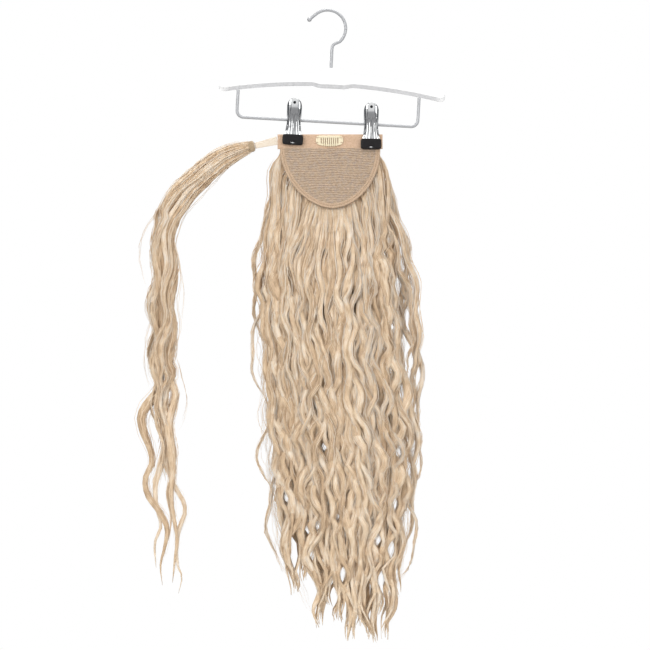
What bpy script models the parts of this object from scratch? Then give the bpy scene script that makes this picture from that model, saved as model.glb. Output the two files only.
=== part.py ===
"""Wrap-round ponytail hairpiece, hung by its two spring clips from a small hanger.

The hairpiece is a flat cloth base (a ribbon band, a net cap and the tape that binds its edge) with a
snap comb sewn to the band, a long wavy fall of hair sewn to the back of the base, and a short strap
at the left corner that carries one more lock, which is wound round the hair tie in use.
Metres, +Z up, the base faces -Y. The origin is the inside of the hook, where the rod carries it.
"""

import math

import bmesh
import bpy
from mathutils import Vector

GAP = 0.0003  # what touching pieces keep between them

# Hanger, in its own frame: it hangs from the hook and leans to the right by this angle
HANGER_LEAN = math.radians(3.2)
HOOK_RADIUS = 0.020
WIRE = 0.0034
HOOK_BALL = 0.0052
HOOK_TAIL = 0.0095
HOOK_FROM = 132  # degrees round the bow, from the tail over the top to the stem
HOOK_TO = -44
STEM_X = 0.0073
STEM_TOP = 0.0400
STEM_SHOULDER = (0.0016, 0.0042)
STEM_FOOT = 0.0615
ARM_X = 0.0098
ARM_HALF_LENGTH = 0.1245
ARM_UNDERSIDE = 0.0812  # below the origin, at the middle of the arm
ARM_SAG = 0.0122
ARM_SLOPE = 0.09  # how steeply the arm's underside falls where the rail's posts meet it
ARM_HEIGHT = 0.0120
ARM_THICKNESS = 0.0060
ARM_ROUNDING = 0.0012
ARM_STEPS = 12  # outline points on each half of the arm
BOSS_HALF_WIDTH = 0.0180
BOSS_DIP = 0.0022
BOSS_EDGE = 0.0004
BOSS_SHOULDER = 0.0240  # where the boss's rounded top runs out into the arm
RAIL_X = 0.0063
RAIL_HALF_WIDTH = 0.0996
RAIL_DROP = 0.1212
RAIL_BEND = 0.0075

# Spring clips: places along the rail, and the jaw's shape from its top to the end of its tongue
CLIPS = [  # the right clip hangs nearly upright on the leaning rail
    dict(side="left", x=-0.0302, lean=0.0),
    dict(side="right", x=0.0548, lean=math.radians(-2.7)),
]
JAW_SHEET = 0.0008
JAW_ROWS = [  # drop below the rail, half width, distance from the cloth, depth of the turned-in edge
    dict(drop=-0.0226, half=0.0016, off=0.0098, edge=0.0003),
    dict(drop=-0.0216, half=0.0042, off=0.0102, edge=0.0008),
    dict(drop=-0.0192, half=0.0065, off=0.0102, edge=0.0014),
    dict(drop=-0.0150, half=0.0078, off=0.0096, edge=0.0020),
    dict(drop=-0.0070, half=0.0079, off=0.0083, edge=0.0034),
    dict(drop=0.0000, half=0.0077, off=0.0068, edge=0.0044),
    dict(drop=0.0060, half=0.0076, off=0.0056, edge=0.0024),
    dict(drop=0.0115, half=0.0083, off=0.0047, edge=0.0012),
    dict(drop=0.0155, half=0.0090, off=0.0041, edge=0.0003),
    dict(drop=0.0248, half=0.0086, off=0.0034, edge=0.0),
]
JAW_COLUMNS = [(-1.0, 1.0), (-0.86, 0.3), (-0.5, 0.03), (0.0, 0.0), (0.5, 0.03), (0.86, 0.3), (1.0, 1.0)]
PAD_HALF_WIDTH = 0.0112
PAD_TOP = 0.0160
PAD_FOOT = 0.0276
PAD_FRONT = 0.0058
PAD_ROUNDING = 0.0010
SLOT_HALF_WIDTH = 0.0096
SLOT_FOOT = 0.0254
SLOT_BACK = 0.0024
SLOT_FRONT = 0.0050
CUTTER_EXCESS = 0.0030
SPRING_OUTER = 0.0036
SPRING_INNER = 0.0021
SPRING_LENGTH = 0.0100

# Cloth base
BASE_X = 0.0028
BAND_WIDTH = 0.1155
BAND_HEIGHT = 0.0165
BAND_TOP = -0.1350
BAND_THICKNESS = 0.0016
NET_THICKNESS = 0.0012
BINDING_WIDTH = 0.0052
BINDING_THICKNESS = 0.0026
CLOTH_ROUNDING = 0.0005
CAP_HALF_WIDTH = 0.0552
CAP_DEPTH = 0.0645
CAP_FULLNESS = 1.85  # 2 would make the cap's edge half an ellipse
CAP_SKEW = 0.0026  # how far the deepest point lies to the right of the middle
CAP_STEPS = 24

# Snap comb, sewn to the middle of the band
COMB_X = 0.0022
COMB_TOP = -0.1363
COMB_HALF_WIDTH = 0.0151
COMB_HEIGHT = 0.0104
COMB_BOW = 0.0014
COMB_SHEET = 0.0008
COMB_RAIL = 0.0023
COMB_TOP_RAIL = 0.0016
COMB_LOBE = 0.0042
COMB_CORNER = 0.0030
COMB_END_INSET = 0.0010
SEWING_HOLE = 0.0006
SEWING_HOLE_INSET = 0.0023
SEWING_HOLE_LIFT = 0.0026
BAR_INSET = 0.0032
BAR_HEIGHT = 0.0022
BAR_FILLET = 0.0002
BAR_BELOW_TOP = 0.0002
TOOTH_COUNT = 8
TOOTH_PITCH = 0.00225
TOOTH_WIDTH = 0.0013
TOOTH_LENGTH = 0.0108
TOOTH_POINT = 0.0008

# Wrap: a strap from the band's left corner, the collar that binds the lock's head, and the lock
STRAP_THICKNESS = 0.0012
STRAP_END = Vector((-0.0798, 0.0, -0.1475))
STRAP_HALF_WIDTH = 0.0038
STRAP_SLOPE = math.radians(13)
STRAP_ALONG = Vector((-math.cos(STRAP_SLOPE), 0.0, -math.sin(STRAP_SLOPE)))
COLLAR_SIZE = (0.0068, 0.0084, 0.0146)
COLLAR_ROUNDING = 0.0012
WRAP_HEAD = dict(half=0.0070, deep=0.0040)  # the lock where it comes out of the collar
WRAP_ROWS = [  # places along the lock's middle, its half width in the plane of the base, its half depth
    dict(x=-0.1020, z=-0.1552, half=0.0088, deep=0.0062),
    dict(x=-0.1185, z=-0.1632, half=0.0114, deep=0.0080),
    dict(x=-0.1345, z=-0.1754, half=0.0142, deep=0.0095),
    dict(x=-0.1512, z=-0.1930, half=0.0166, deep=0.0105),
    dict(x=-0.1655, z=-0.2128, half=0.0174, deep=0.0110),
    dict(x=-0.1744, z=-0.2350, half=0.0160, deep=0.0112),
    dict(x=-0.1784, z=-0.2600, half=0.0148, deep=0.0112),
    dict(x=-0.1800, z=-0.3000, half=0.0172, deep=0.0112),
    dict(x=-0.1810, z=-0.3600, half=0.0192, deep=0.0112),
    dict(x=-0.1810, z=-0.4150, half=0.0198, deep=0.0108),
    dict(x=-0.1795, z=-0.4700, half=0.0176, deep=0.0100),
    dict(x=-0.1790, z=-0.5150, half=0.0140, deep=0.0085),
    dict(x=-0.1780, z=-0.5500, half=0.0070, deep=0.0055),
]
WRAP_FLUTES = 7
WRAP_FLUTE_DEPTH = 0.16
WRAP_SECTIONS = 30
WRAP_PHASE = 0.8
WRAP_TIP_Y = 0.002
WRAP_TIP_TURN = 2.4  # each loose end waves this many radians after the one before it
WRAP_TIPS = [  # loose ends of the lock: where each leaves it, its tip, and its half width there
    dict(x=-0.1900, z=-0.4300, tip_x=-0.1900, tip_z=-0.6000, half=0.0052),
    dict(x=-0.1860, z=-0.4900, tip_x=-0.1845, tip_z=-0.6330, half=0.0052),
    dict(x=-0.1740, z=-0.5000, tip_x=-0.1715, tip_z=-0.6160, half=0.0048),
    dict(x=-0.1690, z=-0.4600, tip_x=-0.1600, tip_z=-0.6270, half=0.0048),
]

# Fall of hair: its outline at several heights, from the photographed side and from the side
FALL_ROWS = [
    dict(z=-0.1535, left=-0.0520, right=0.0560, front=0.0016, back=0.0056),
    dict(z=-0.1640, left=-0.0610, right=0.0620, front=0.0016, back=0.0110),
    dict(z=-0.1850, left=-0.0665, right=0.0690, front=0.0016, back=0.0180),
    dict(z=-0.2180, left=-0.0690, right=0.0750, front=0.0016, back=0.0260),
    dict(z=-0.2620, left=-0.0755, right=0.0860, front=-0.0080, back=0.0320),
    dict(z=-0.3000, left=-0.0820, right=0.0950, front=-0.0130, back=0.0350),
    dict(z=-0.3500, left=-0.0815, right=0.1010, front=-0.0160, back=0.0360),
    dict(z=-0.4000, left=-0.0780, right=0.1020, front=-0.0170, back=0.0360),
    dict(z=-0.4600, left=-0.0725, right=0.1000, front=-0.0165, back=0.0340),
    dict(z=-0.5200, left=-0.0670, right=0.0950, front=-0.0145, back=0.0300),
    dict(z=-0.5750, left=-0.0590, right=0.0860, front=-0.0110, back=0.0240),
    dict(z=-0.6150, left=-0.0430, right=0.0740, front=-0.0070, back=0.0180),
    dict(z=-0.6350, left=-0.0180, right=0.0640, front=-0.0030, back=0.0130),
]
FALL_TIPS = [  # loose ends of the fall: where each leaves it, its tip, and its half width there
    dict(x=-0.0560, y=0.008, z=-0.520, tip_x=-0.0506, tip_z=-0.631, half=0.0062),
    dict(x=-0.0400, y=0.004, z=-0.545, tip_x=-0.0410, tip_z=-0.650, half=0.0070),
    dict(x=-0.0220, y=0.012, z=-0.560, tip_x=-0.0285, tip_z=-0.664, half=0.0070),
    dict(x=-0.0080, y=0.002, z=-0.570, tip_x=-0.0090, tip_z=-0.678, half=0.0075),
    dict(x=0.0080, y=0.010, z=-0.570, tip_x=0.0060, tip_z=-0.673, half=0.0075),
    dict(x=0.0220, y=0.003, z=-0.570, tip_x=0.0175, tip_z=-0.680, half=0.0075),
    dict(x=0.0330, y=0.011, z=-0.570, tip_x=0.0290, tip_z=-0.687, half=0.0075),
    dict(x=0.0440, y=0.002, z=-0.570, tip_x=0.0395, tip_z=-0.679, half=0.0075),
    dict(x=0.0560, y=0.009, z=-0.565, tip_x=0.0540, tip_z=-0.688, half=0.0072),
    dict(x=0.0640, y=0.003, z=-0.560, tip_x=0.0625, tip_z=-0.684, half=0.0070),
    dict(x=0.0760, y=0.008, z=-0.540, tip_x=0.0715, tip_z=-0.653, half=0.0068),
    dict(x=0.0850, y=0.004, z=-0.520, tip_x=0.0790, tip_z=-0.615, half=0.0060),
]
SIDE_LOCKS = [  # locks that stand out at the sides: both ends, the place of the bulge, the half width
    dict(x=-0.0700, z=-0.300, out=-0.0870, end_x=-0.0640, end_z=-0.440, half=0.0042),
    dict(x=-0.0620, z=-0.490, out=-0.0690, end_x=-0.0540, end_z=-0.600, half=0.0040),
    dict(x=0.0800, z=-0.235, out=0.1060, end_x=0.0900, end_z=-0.400, half=0.0055),
    dict(x=0.0900, z=-0.340, out=0.1090, end_x=0.0880, end_z=-0.520, half=0.0055),
]
SIDE_LOCK_Y = 0.0110
FALL_TIP_TURN = 1.3
SIDE_LOCK_TURN = 2.1
FLUTES = 20
FLUTE_DEPTH = 0.13  # shares of the half width and of the half depth
FLUTE_GROOVE = 0.22
FALL_CORNER_X = 0.8  # below 1, the outline is fuller at its corners than an ellipse
FALL_CORNER_Y = 0.7
PHASE_SPREAD = 1.5
PHASE_CYCLES = 3
SECTION_STEP = 0.0152

# Waves of the hair, the shape of a loose lock in shares of its half width, and the wefts
WAVE_LENGTH = 0.068
WAVE_HEIGHT = 0.0050
WAVE_START = -0.200
WAVE_GROWTH = 0.120
LOCK_STEPS = 12
LOCK_ROOT = 0.35
LOCK_SWELL = 0.95
LOCK_THINNING = 1.15
LOCK_POINT = 0.16
WEFT_FRONT = 0.0013
WEFT_BACK = 0.0052
WEFT_LEFT = -0.0225
WEFT_RIGHT = 0.0330
WEFT_BELOW_TOP = 0.0015
WEFT_INSET = 0.0045
WEFT_STEPS = 12
HAIR_SOLVER = "MANIFOLD"  # EXACT leaves open edges where the locks run along each other
SMOOTH_BELOW = math.radians(40)


def clear_scene():
    for obj in list(bpy.data.objects):
        bpy.data.objects.remove(obj)


def new_collection(name, hidden=False):
    collection = bpy.data.collections.new(name)
    collection.hide_render = hidden
    bpy.context.scene.collection.children.link(collection)
    return collection


def finish_of(name, colour, roughness, metallic=0.0):
    """A Principled material in the colour of the photographed surface."""
    material = bpy.data.materials.new(name)
    material.use_nodes = True
    shader = material.node_tree.nodes["Principled BSDF"]
    shader.inputs["Base Color"].default_value = (*colour, 1.0)
    shader.inputs["Roughness"].default_value = roughness
    shader.inputs["Metallic"].default_value = metallic
    return material


def placed(name, data, collection, material=None, parent=None):
    obj = bpy.data.objects.new(name, data)
    collection.objects.link(obj)
    obj.parent = parent
    if material:
        obj.data.materials.append(material)
    return obj


def shaded_smooth(mesh):
    mesh.shade_smooth()
    mesh.set_sharp_from_angle(angle=SMOOTH_BELOW)


def tube(name, points, width, collection, material=None, parent=None, radii=None, resolution=2):
    """A round wire or lock along the points, with closed ends."""
    curve = bpy.data.curves.new(name, "CURVE")
    curve.dimensions = "3D"
    curve.bevel_depth = width / 2
    curve.bevel_resolution = resolution
    curve.use_fill_caps = True
    spline = curve.splines.new("POLY")
    spline.points.add(len(points) - 1)
    for index, (point, place) in enumerate(zip(spline.points, points)):
        point.co = (*place, 1.0)
        point.radius = radii[index] if radii else 1.0
    return placed(name, curve, collection, material, parent)


def sheet_piece(name, outlines, thickness, collection, material, parent=None, rounding=0.0):
    """A flat piece cut to the first outline, with the others as holes, standing in the XZ plane."""
    curve = bpy.data.curves.new(name, "CURVE")
    curve.dimensions = "2D"
    curve.fill_mode = "BOTH"
    curve.extrude = thickness / 2 - rounding
    curve.bevel_depth = rounding
    curve.bevel_resolution = 1
    curve.offset = -rounding
    for outline in outlines:
        spline = curve.splines.new("POLY")
        spline.points.add(len(outline) - 1)
        spline.use_cyclic_u = True
        for point, (x, z) in zip(spline.points, outline):
            point.co = (x, z, 0.0, 1.0)
    obj = placed(name, curve, collection, material, parent)
    obj.rotation_euler = (math.radians(90), 0, 0)
    return obj


def as_mesh(obj, collection):
    """The object as a plain mesh with its caps welded, in the same place."""
    bpy.context.view_layer.update()
    graph = bpy.context.evaluated_depsgraph_get()
    mesh = bpy.data.meshes.new_from_object(obj.evaluated_get(graph))
    shape = bmesh.new()
    shape.from_mesh(mesh)
    bmesh.ops.remove_doubles(shape, verts=shape.verts, dist=1e-6)
    bmesh.ops.recalc_face_normals(shape, faces=shape.faces)
    shape.to_mesh(mesh)
    shape.free()
    shaded_smooth(mesh)
    name, world, parent = obj.name, obj.matrix_world.copy(), obj.parent
    bpy.data.objects.remove(obj)
    solid = placed(name, mesh, collection, parent=parent)
    solid.matrix_world = world
    return solid


def joined(obj, other, operation, solver="EXACT"):
    """Adds a Boolean of the other object, which stays out of the render."""
    step = obj.modifiers.new(other.name, "BOOLEAN")
    step.operation = operation
    step.object = other
    step.solver = solver
    other.hide_render = True
    other.display_type = "WIRE"
    return step


def block(name, low, high, collection, material=None, parent=None, rounding=0.0):
    """A box between two corners, with its scale applied so that the rounding is even."""
    bpy.ops.mesh.primitive_cube_add(size=1)
    obj = bpy.context.object
    obj.name = name
    for owner in list(obj.users_collection):
        owner.objects.unlink(obj)
    collection.objects.link(obj)
    low, high = Vector(low), Vector(high)
    for vertex in obj.data.vertices:
        share = vertex.co + Vector((0.5, 0.5, 0.5))
        vertex.co = Vector(low[k] + share[k] * (high[k] - low[k]) for k in range(3))
    if rounding:
        bevel = obj.modifiers.new("rounding", "BEVEL")
        bevel.width = rounding
        bevel.segments = 2
    if material:
        obj.data.materials.append(material)
    obj.parent = parent
    return obj


def loft(name, rings, collection, material=None):
    """A closed solid through rings that all have the same number of points."""
    shape = bmesh.new()
    loops = [[shape.verts.new(point) for point in ring] for ring in rings]
    count = len(rings[0])
    for lower, upper in zip(loops, loops[1:]):
        for k in range(count):
            following = (k + 1) % count
            shape.faces.new((lower[k], lower[following], upper[following], upper[k]))
    for loop in (loops[0], loops[-1]):
        centre = shape.verts.new(sum((vertex.co for vertex in loop), Vector()) / count)
        for k in range(count):
            shape.faces.new((loop[k], loop[(k + 1) % count], centre))
    bmesh.ops.recalc_face_normals(shape, faces=shape.faces)
    mesh = bpy.data.meshes.new(name)
    shape.to_mesh(mesh)
    shape.free()
    shaded_smooth(mesh)
    return placed(name, mesh, collection, material)


def arc(centre_x, centre_z, radius, start, end, steps):
    """Points in the XZ plane round a centre, from one angle in degrees to another."""
    points = []
    for k in range(steps + 1):
        angle = math.radians(start + (end - start) * k / steps)
        points.append(Vector((centre_x + radius * math.cos(angle), 0, centre_z + radius * math.sin(angle))))
    return points


def between(rows, key, place):
    """The row values at a place along the rows' key, eased so that they join smoothly."""
    ordered = sorted(rows, key=lambda row: row[key])
    place = min(max(place, ordered[0][key]), ordered[-1][key])
    last = len(ordered) - 1
    k = max(i for i in range(last) if ordered[i][key] <= place)
    before, a, b, after = (ordered[min(max(k + shift, 0), last)] for shift in (-1, 0, 1, 2))
    t = (place - a[key]) / (b[key] - a[key])
    values = {}
    for column in a:
        slope_a, slope_b = (b[column] - before[column]) / 2, (after[column] - a[column]) / 2
        hermite_b = t * t * (3 - 2 * t)
        values[column] = (
            a[column] * (1 - hermite_b)
            + b[column] * hermite_b
            + slope_a * t * (1 - t) ** 2
            - slope_b * t * t * (1 - t)
        )
    return values


def offset_inwards(points, distance):
    """An open outline of the cap moved towards its inside."""
    moved = []
    for k, (x, z) in enumerate(points):
        before, after = points[max(k - 1, 0)], points[min(k + 1, len(points) - 1)]
        along = Vector((after[0] - before[0], after[1] - before[1])).normalized()
        moved.append((x - along.y * distance, z + along.x * distance))
    return moved


def wave(z, phase):
    """Sideways swing of the hair at a height, none at the roots and full lower down."""
    grown = min(max((WAVE_START - z) / WAVE_GROWTH, 0.0), 1.0)
    return WAVE_HEIGHT * grown * math.sin(2 * math.pi * z / WAVE_LENGTH + phase)


def build_hook(hanger, collection, steel):
    """One bent wire with a ball at its tip; the stem goes down to the arm's boss."""
    drop = HOOK_RADIUS - WIRE / 2
    centre_x, centre_z = drop * math.sin(HANGER_LEAN), -drop * math.cos(HANGER_LEAN)
    bow = arc(centre_x, centre_z, HOOK_RADIUS, HOOK_FROM, HOOK_TO, 15)
    tail_way = Vector((-math.sin(math.radians(HOOK_FROM)), 0, math.cos(math.radians(HOOK_FROM))))
    tip = bow[0] + tail_way * HOOK_TAIL
    shoulder = Vector((STEM_X + STEM_SHOULDER[0], 0, -STEM_TOP + STEM_SHOULDER[1]))
    knee = Vector((STEM_X, 0, -STEM_TOP))
    foot = Vector((STEM_X, 0, -STEM_FOOT))
    wire = tube("hanger_hook", [tip, *bow, shoulder, knee, foot], WIRE, collection, None, hanger)
    hook = as_mesh(wire, collection)
    hook.data.materials.append(steel)
    bpy.ops.mesh.primitive_uv_sphere_add(segments=12, ring_count=8, radius=HOOK_BALL / 2)
    ball = bpy.context.object
    ball.name = "hook_ball"
    shaded_smooth(ball.data)
    ball.parent = hanger
    ball.location = tip
    joined(hook, ball, "UNION")
    return hook


def arm_underside(x):
    """Height of the arm's lower edge at a distance from its middle."""
    dip = BOSS_DIP if abs(x) < BOSS_HALF_WIDTH else 0.0
    return -(ARM_UNDERSIDE + ARM_SAG * (x / ARM_HALF_LENGTH) ** 2 + dip)


def arm_topside(x, boss_top):
    """Height of the arm's upper edge, which rises to the boss in the middle."""
    plain = -(ARM_UNDERSIDE + ARM_SAG * (x / ARM_HALF_LENGTH) ** 2) + ARM_HEIGHT
    if abs(x) > BOSS_SHOULDER:
        return plain
    rise = math.cos(math.pi * x / (2 * BOSS_SHOULDER)) ** 2
    return plain + rise * (boss_top + ARM_UNDERSIDE - ARM_HEIGHT)


def build_arm(hanger, collection, white):
    """The moulded arm: an arched bar with rounded ends and a boss that takes the hook's stem."""
    ends = ARM_HALF_LENGTH - ARM_HEIGHT / 2
    places = [ends * k / ARM_STEPS for k in range(-ARM_STEPS, ARM_STEPS + 1)]
    steps = [side * BOSS_HALF_WIDTH + edge for side in (-1, 1) for edge in (-BOSS_EDGE, BOSS_EDGE)]
    lower = [(ARM_X + x, arm_underside(x)) for x in sorted(places + steps)]
    upper = [(ARM_X + x, arm_topside(x, -STEM_FOOT - GAP)) for x in places]
    middle = arm_underside(ends) + ARM_HEIGHT / 2
    right = arc(ARM_X + ends, middle, ARM_HEIGHT / 2, -60, 60, 4)
    left = arc(ARM_X - ends, middle, ARM_HEIGHT / 2, 120, 240, 4)
    outline = lower + [(p.x, p.z) for p in right] + upper[::-1] + [(p.x, p.z) for p in left]
    return sheet_piece("hanger_arm", [outline], ARM_THICKNESS, collection, white, hanger, ARM_ROUNDING)


def build_rail(hanger, collection, steel):
    """A wire bent to a shallow U whose ends stop under the arm."""
    left, right = RAIL_X - RAIL_HALF_WIDTH, RAIL_X + RAIL_HALF_WIDTH
    left_top, right_top = (arm_underside(x - ARM_X) - GAP - WIRE * ARM_SLOPE for x in (left, right))
    corner_z = -RAIL_DROP + RAIL_BEND
    path = [Vector((left, 0, left_top))]
    path += arc(left + RAIL_BEND, corner_z, RAIL_BEND, 180, 270, 5)
    path += arc(right - RAIL_BEND, corner_z, RAIL_BEND, 270, 360, 5)
    path += [Vector((right, 0, right_top))]
    return tube("hanger_rail", path, WIRE, collection, steel, hanger)


def build_jaw(name, centre, turned, collection, chrome):
    """A pressed steel jaw: a curved sheet with turned-in edges and a tongue for the rubber pad."""
    shape = bmesh.new()
    grid = []
    for row in JAW_ROWS:
        line = []
        for across, turn in JAW_COLUMNS:
            place = (across * row["half"], -row["off"] + turn * row["edge"], -row["drop"])
            line.append(shape.verts.new(place))
        grid.append(line)
    for upper, lower in zip(grid, grid[1:]):
        for k in range(len(JAW_COLUMNS) - 1):
            shape.faces.new((upper[k], lower[k], lower[k + 1], upper[k + 1]))
    mesh = bpy.data.meshes.new(name)
    shape.to_mesh(mesh)
    shape.free()
    shaded_smooth(mesh)
    jaw = placed(name, mesh, collection, chrome, centre)
    jaw.rotation_euler = (0, 0, math.pi if turned else 0)
    wall = jaw.modifiers.new("sheet", "SOLIDIFY")
    wall.thickness = JAW_SHEET
    wall.offset = 0
    return jaw


def build_pad(name, centre, turned, collection, cutters, rubber):
    """A rubber pad with a slot that takes the jaw's tongue."""
    inner = BAND_THICKNESS / 2 + GAP
    low = (-PAD_HALF_WIDTH, -PAD_FRONT, -PAD_FOOT)
    high = (PAD_HALF_WIDTH, -inner, -PAD_TOP)
    pad = block(name, low, high, collection, rubber, centre, PAD_ROUNDING)
    low = (-SLOT_HALF_WIDTH, -SLOT_FRONT, -SLOT_FOOT)
    high = (SLOT_HALF_WIDTH, -SLOT_BACK, -PAD_TOP + CUTTER_EXCESS)
    slot = block(name + "_slot", low, high, cutters, parent=centre)
    for piece in (pad, slot):
        piece.rotation_euler = (0, 0, math.pi if turned else 0)
    joined(pad, slot, "DIFFERENCE")
    return pad


def build_spring(name, centre, collection, cutters, steel):
    """The jaw spring as a plain sleeve round the rail."""
    sleeves = []
    for radius, length in ((SPRING_OUTER, SPRING_LENGTH), (SPRING_INNER, SPRING_LENGTH * 2)):
        bpy.ops.mesh.primitive_cylinder_add(vertices=16, radius=radius, depth=length)
        sleeves.append(bpy.context.object)
    spring, bore = sleeves
    for sleeve, label, owner in ((spring, name, collection), (bore, name + "_bore", cutters)):
        sleeve.name = label
        for old in list(sleeve.users_collection):
            old.objects.unlink(sleeve)
        owner.objects.link(sleeve)
        sleeve.parent = centre
        sleeve.rotation_euler = (0, math.radians(90), 0)
    shaded_smooth(spring.data)
    spring.data.materials.append(steel)
    joined(spring, bore, "DIFFERENCE")
    return spring


def build_clip(row, hanger, collection, cutters, finishes):
    """One spring clip, round the rail, shut on the band."""
    side = row["side"]
    centre = bpy.data.objects.new(f"clip_{side}_centre", None)
    collection.objects.link(centre)
    centre.parent = hanger
    centre.location = (row["x"], 0, -RAIL_DROP)
    centre.rotation_euler = (0, row["lean"], 0)
    for face, turned in (("front", False), ("back", True)):
        build_jaw(f"clip_{side}_{face}_jaw", centre, turned, collection, finishes["chrome"])
        build_pad(f"clip_{side}_{face}_pad", centre, turned, collection, cutters, finishes["rubber"])
    build_spring(f"clip_{side}_spring", centre, collection, cutters, finishes["steel"])


def cap_outline(steps=CAP_STEPS):
    """The cap's outer edge from the band's left end, under the cap, to its right end."""
    foot = BAND_TOP - BAND_HEIGHT - GAP
    outline = []
    for k in range(steps + 1):
        turn = math.pi * k / steps
        across = -math.copysign(abs(math.cos(turn)) ** (2 / CAP_FULLNESS), math.cos(turn))
        down = math.sin(turn) ** (2 / CAP_FULLNESS) if 0 < k < steps else 0.0
        outline.append((BASE_X + CAP_SKEW * down + CAP_HALF_WIDTH * across, foot - CAP_DEPTH * down))
    return outline


def build_base(collection, finishes):
    """Band, net cap and the tape that binds the cap's edge."""
    half = BAND_WIDTH / 2
    low = (BASE_X - half, -BAND_THICKNESS / 2, BAND_TOP - BAND_HEIGHT)
    high = (BASE_X + half, BAND_THICKNESS / 2, BAND_TOP)
    block("top_band", low, high, collection, finishes["ribbon"], rounding=CLOTH_ROUNDING)
    outer = cap_outline()
    seam = offset_inwards(outer, BINDING_WIDTH)
    net = offset_inwards(outer, BINDING_WIDTH + GAP)
    foot = outer[0][1]
    for edge in (seam, net):
        edge[0], edge[-1] = (edge[0][0], foot), (edge[-1][0], foot)
    tape = [outer + seam[::-1]]
    sheet_piece("edge_binding", tape, BINDING_THICKNESS, collection, finishes["tape"], rounding=CLOTH_ROUNDING)
    sheet_piece("net_cap", [net], NET_THICKNESS, collection, finishes["net"])


def circle(x, z, radius, sides=8):
    turns = [2 * math.pi * k / sides for k in range(sides)]
    return [(x + radius * math.cos(a), z + radius * math.sin(a)) for a in turns]


def comb_bow(x):
    """How far the comb's lower edge bows down at a distance from its middle."""
    reach = COMB_HALF_WIDTH - COMB_CORNER
    return COMB_BOW * (1 - min(abs(x) / reach, 1.0) ** 2)


def comb_end(side):
    """The rounded end of the comb's frame, upwards on the right and downwards on the left."""
    centre_x = COMB_X + side * (COMB_HALF_WIDTH - COMB_CORNER)
    swell = COMB_HEIGHT / 2 - COMB_END_INSET
    middle = COMB_TOP - COMB_HEIGHT / 2
    angles = [side * math.radians(degrees) for degrees in (-60, -20, 20, 60)]
    return [(centre_x + side * COMB_CORNER * math.cos(a), middle + swell * math.sin(a)) for a in angles]


def build_comb(collection, metal):
    """The snap comb: a frame sewn to the band, and the toothed bar that snaps down over it."""
    foot = COMB_TOP - COMB_HEIGHT
    body, reach = COMB_HALF_WIDTH - COMB_CORNER, COMB_HALF_WIDTH - COMB_LOBE
    shares = [k / 5 for k in range(-5, 6)]
    outer = [(COMB_X + share * body, foot - comb_bow(share * body)) for share in shares]
    outer += [*comb_end(1), (COMB_X + body, COMB_TOP), (COMB_X - body, COMB_TOP), *comb_end(-1)]
    window = [(COMB_X + share * reach, foot + COMB_RAIL - comb_bow(share * reach)) for share in shares]
    window += [(COMB_X + side * reach, COMB_TOP - COMB_TOP_RAIL) for side in (1, -1)]
    holes = []
    for side in (-1, 1):
        for lift in (-SEWING_HOLE_LIFT, SEWING_HOLE_LIFT):
            x = COMB_X + side * (COMB_HALF_WIDTH - SEWING_HOLE_INSET)
            holes.append(circle(x, COMB_TOP - COMB_HEIGHT / 2 + lift, SEWING_HOLE))
    frame = sheet_piece("comb_frame", [outer, window, *holes], COMB_SHEET, collection, metal)
    frame_face = BAND_THICKNESS / 2 + GAP + COMB_SHEET
    frame.location.y = -frame_face + COMB_SHEET / 2
    build_teeth(frame_face + GAP, collection, metal)


def build_teeth(hinge_y, collection, metal):
    """The toothed bar, with its origin on the line about which it snaps open."""
    axis = bpy.data.objects.new("comb_axis", None)
    collection.objects.link(axis)
    axis.location = (COMB_X, -hinge_y, COMB_TOP - BAR_BELOW_TOP)
    half = COMB_HALF_WIDTH - BAR_INSET
    outline = [(-half, 0.0), (-half, -BAR_HEIGHT)]
    first = -TOOTH_PITCH * (TOOTH_COUNT - 1) / 2
    root = -BAR_HEIGHT - BAR_FILLET
    for k in range(TOOTH_COUNT):
        x = first + k * TOOTH_PITCH
        foot = -TOOTH_LENGTH - comb_bow(x)
        left, right, shoulder = x - TOOTH_WIDTH / 2, x + TOOTH_WIDTH / 2, foot + TOOTH_POINT
        outline += [(left, root), (left, shoulder), (x, foot), (right, shoulder), (right, root)]
    outline += [(half, -BAR_HEIGHT), (half, 0.0)]
    teeth = sheet_piece("comb_teeth", [outline], COMB_SHEET, collection, metal, axis)
    teeth.location.y = -COMB_SHEET / 2
    return teeth


def build_wrap_strap(collection, finishes):
    """The strap from the band's left end and the collar stitched round the lock's head."""
    start_x = BASE_X - BAND_WIDTH / 2 - GAP
    across = Vector((-STRAP_ALONG.z, 0, STRAP_ALONG.x))
    far = [STRAP_END + across * STRAP_HALF_WIDTH, STRAP_END - across * STRAP_HALF_WIDTH]
    outline = [(start_x, point.z + (point.x - start_x) * math.tan(-STRAP_SLOPE)) for point in far]
    outline += [(point.x, point.z) for point in far[::-1]]
    sheet_piece("wrap_strap", [outline], STRAP_THICKNESS, collection, finishes["strap"])
    size = Vector(COLLAR_SIZE)
    collar = block("wrap_collar", -size / 2, size / 2, collection, finishes["weft"], rounding=COLLAR_ROUNDING)
    collar.location = STRAP_END + STRAP_ALONG * (GAP + size.x / 2)
    collar.rotation_euler = (0, -STRAP_SLOPE, 0)


def tapered(points, half, name, guides):
    """A loose lock along the points, widest near its middle and fine at both ends."""
    last = len(points) - 1
    radii = []
    for k in range(last + 1):
        share = k / last
        radii.append(max(LOCK_POINT, LOCK_ROOT + LOCK_SWELL * share**0.5 - LOCK_THINNING * share**3))
    return as_mesh(tube(name, points, half * 2, guides, radii=radii, resolution=1), guides)


def hanging_lock(start, tip, half, phase, name, guides, bulge=0.0):
    """A wavy lock from a place inside the hair to its tip, bulging sideways on the way."""
    points = []
    for k in range(LOCK_STEPS + 1):
        share = k / LOCK_STEPS
        middle = start.lerp(tip, share)
        middle.x += wave(middle.z, phase) * (1 - share / 2) + bulge * math.sin(math.pi * share)
        points.append(middle)
    return tapered(points, half, name, guides)


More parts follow.
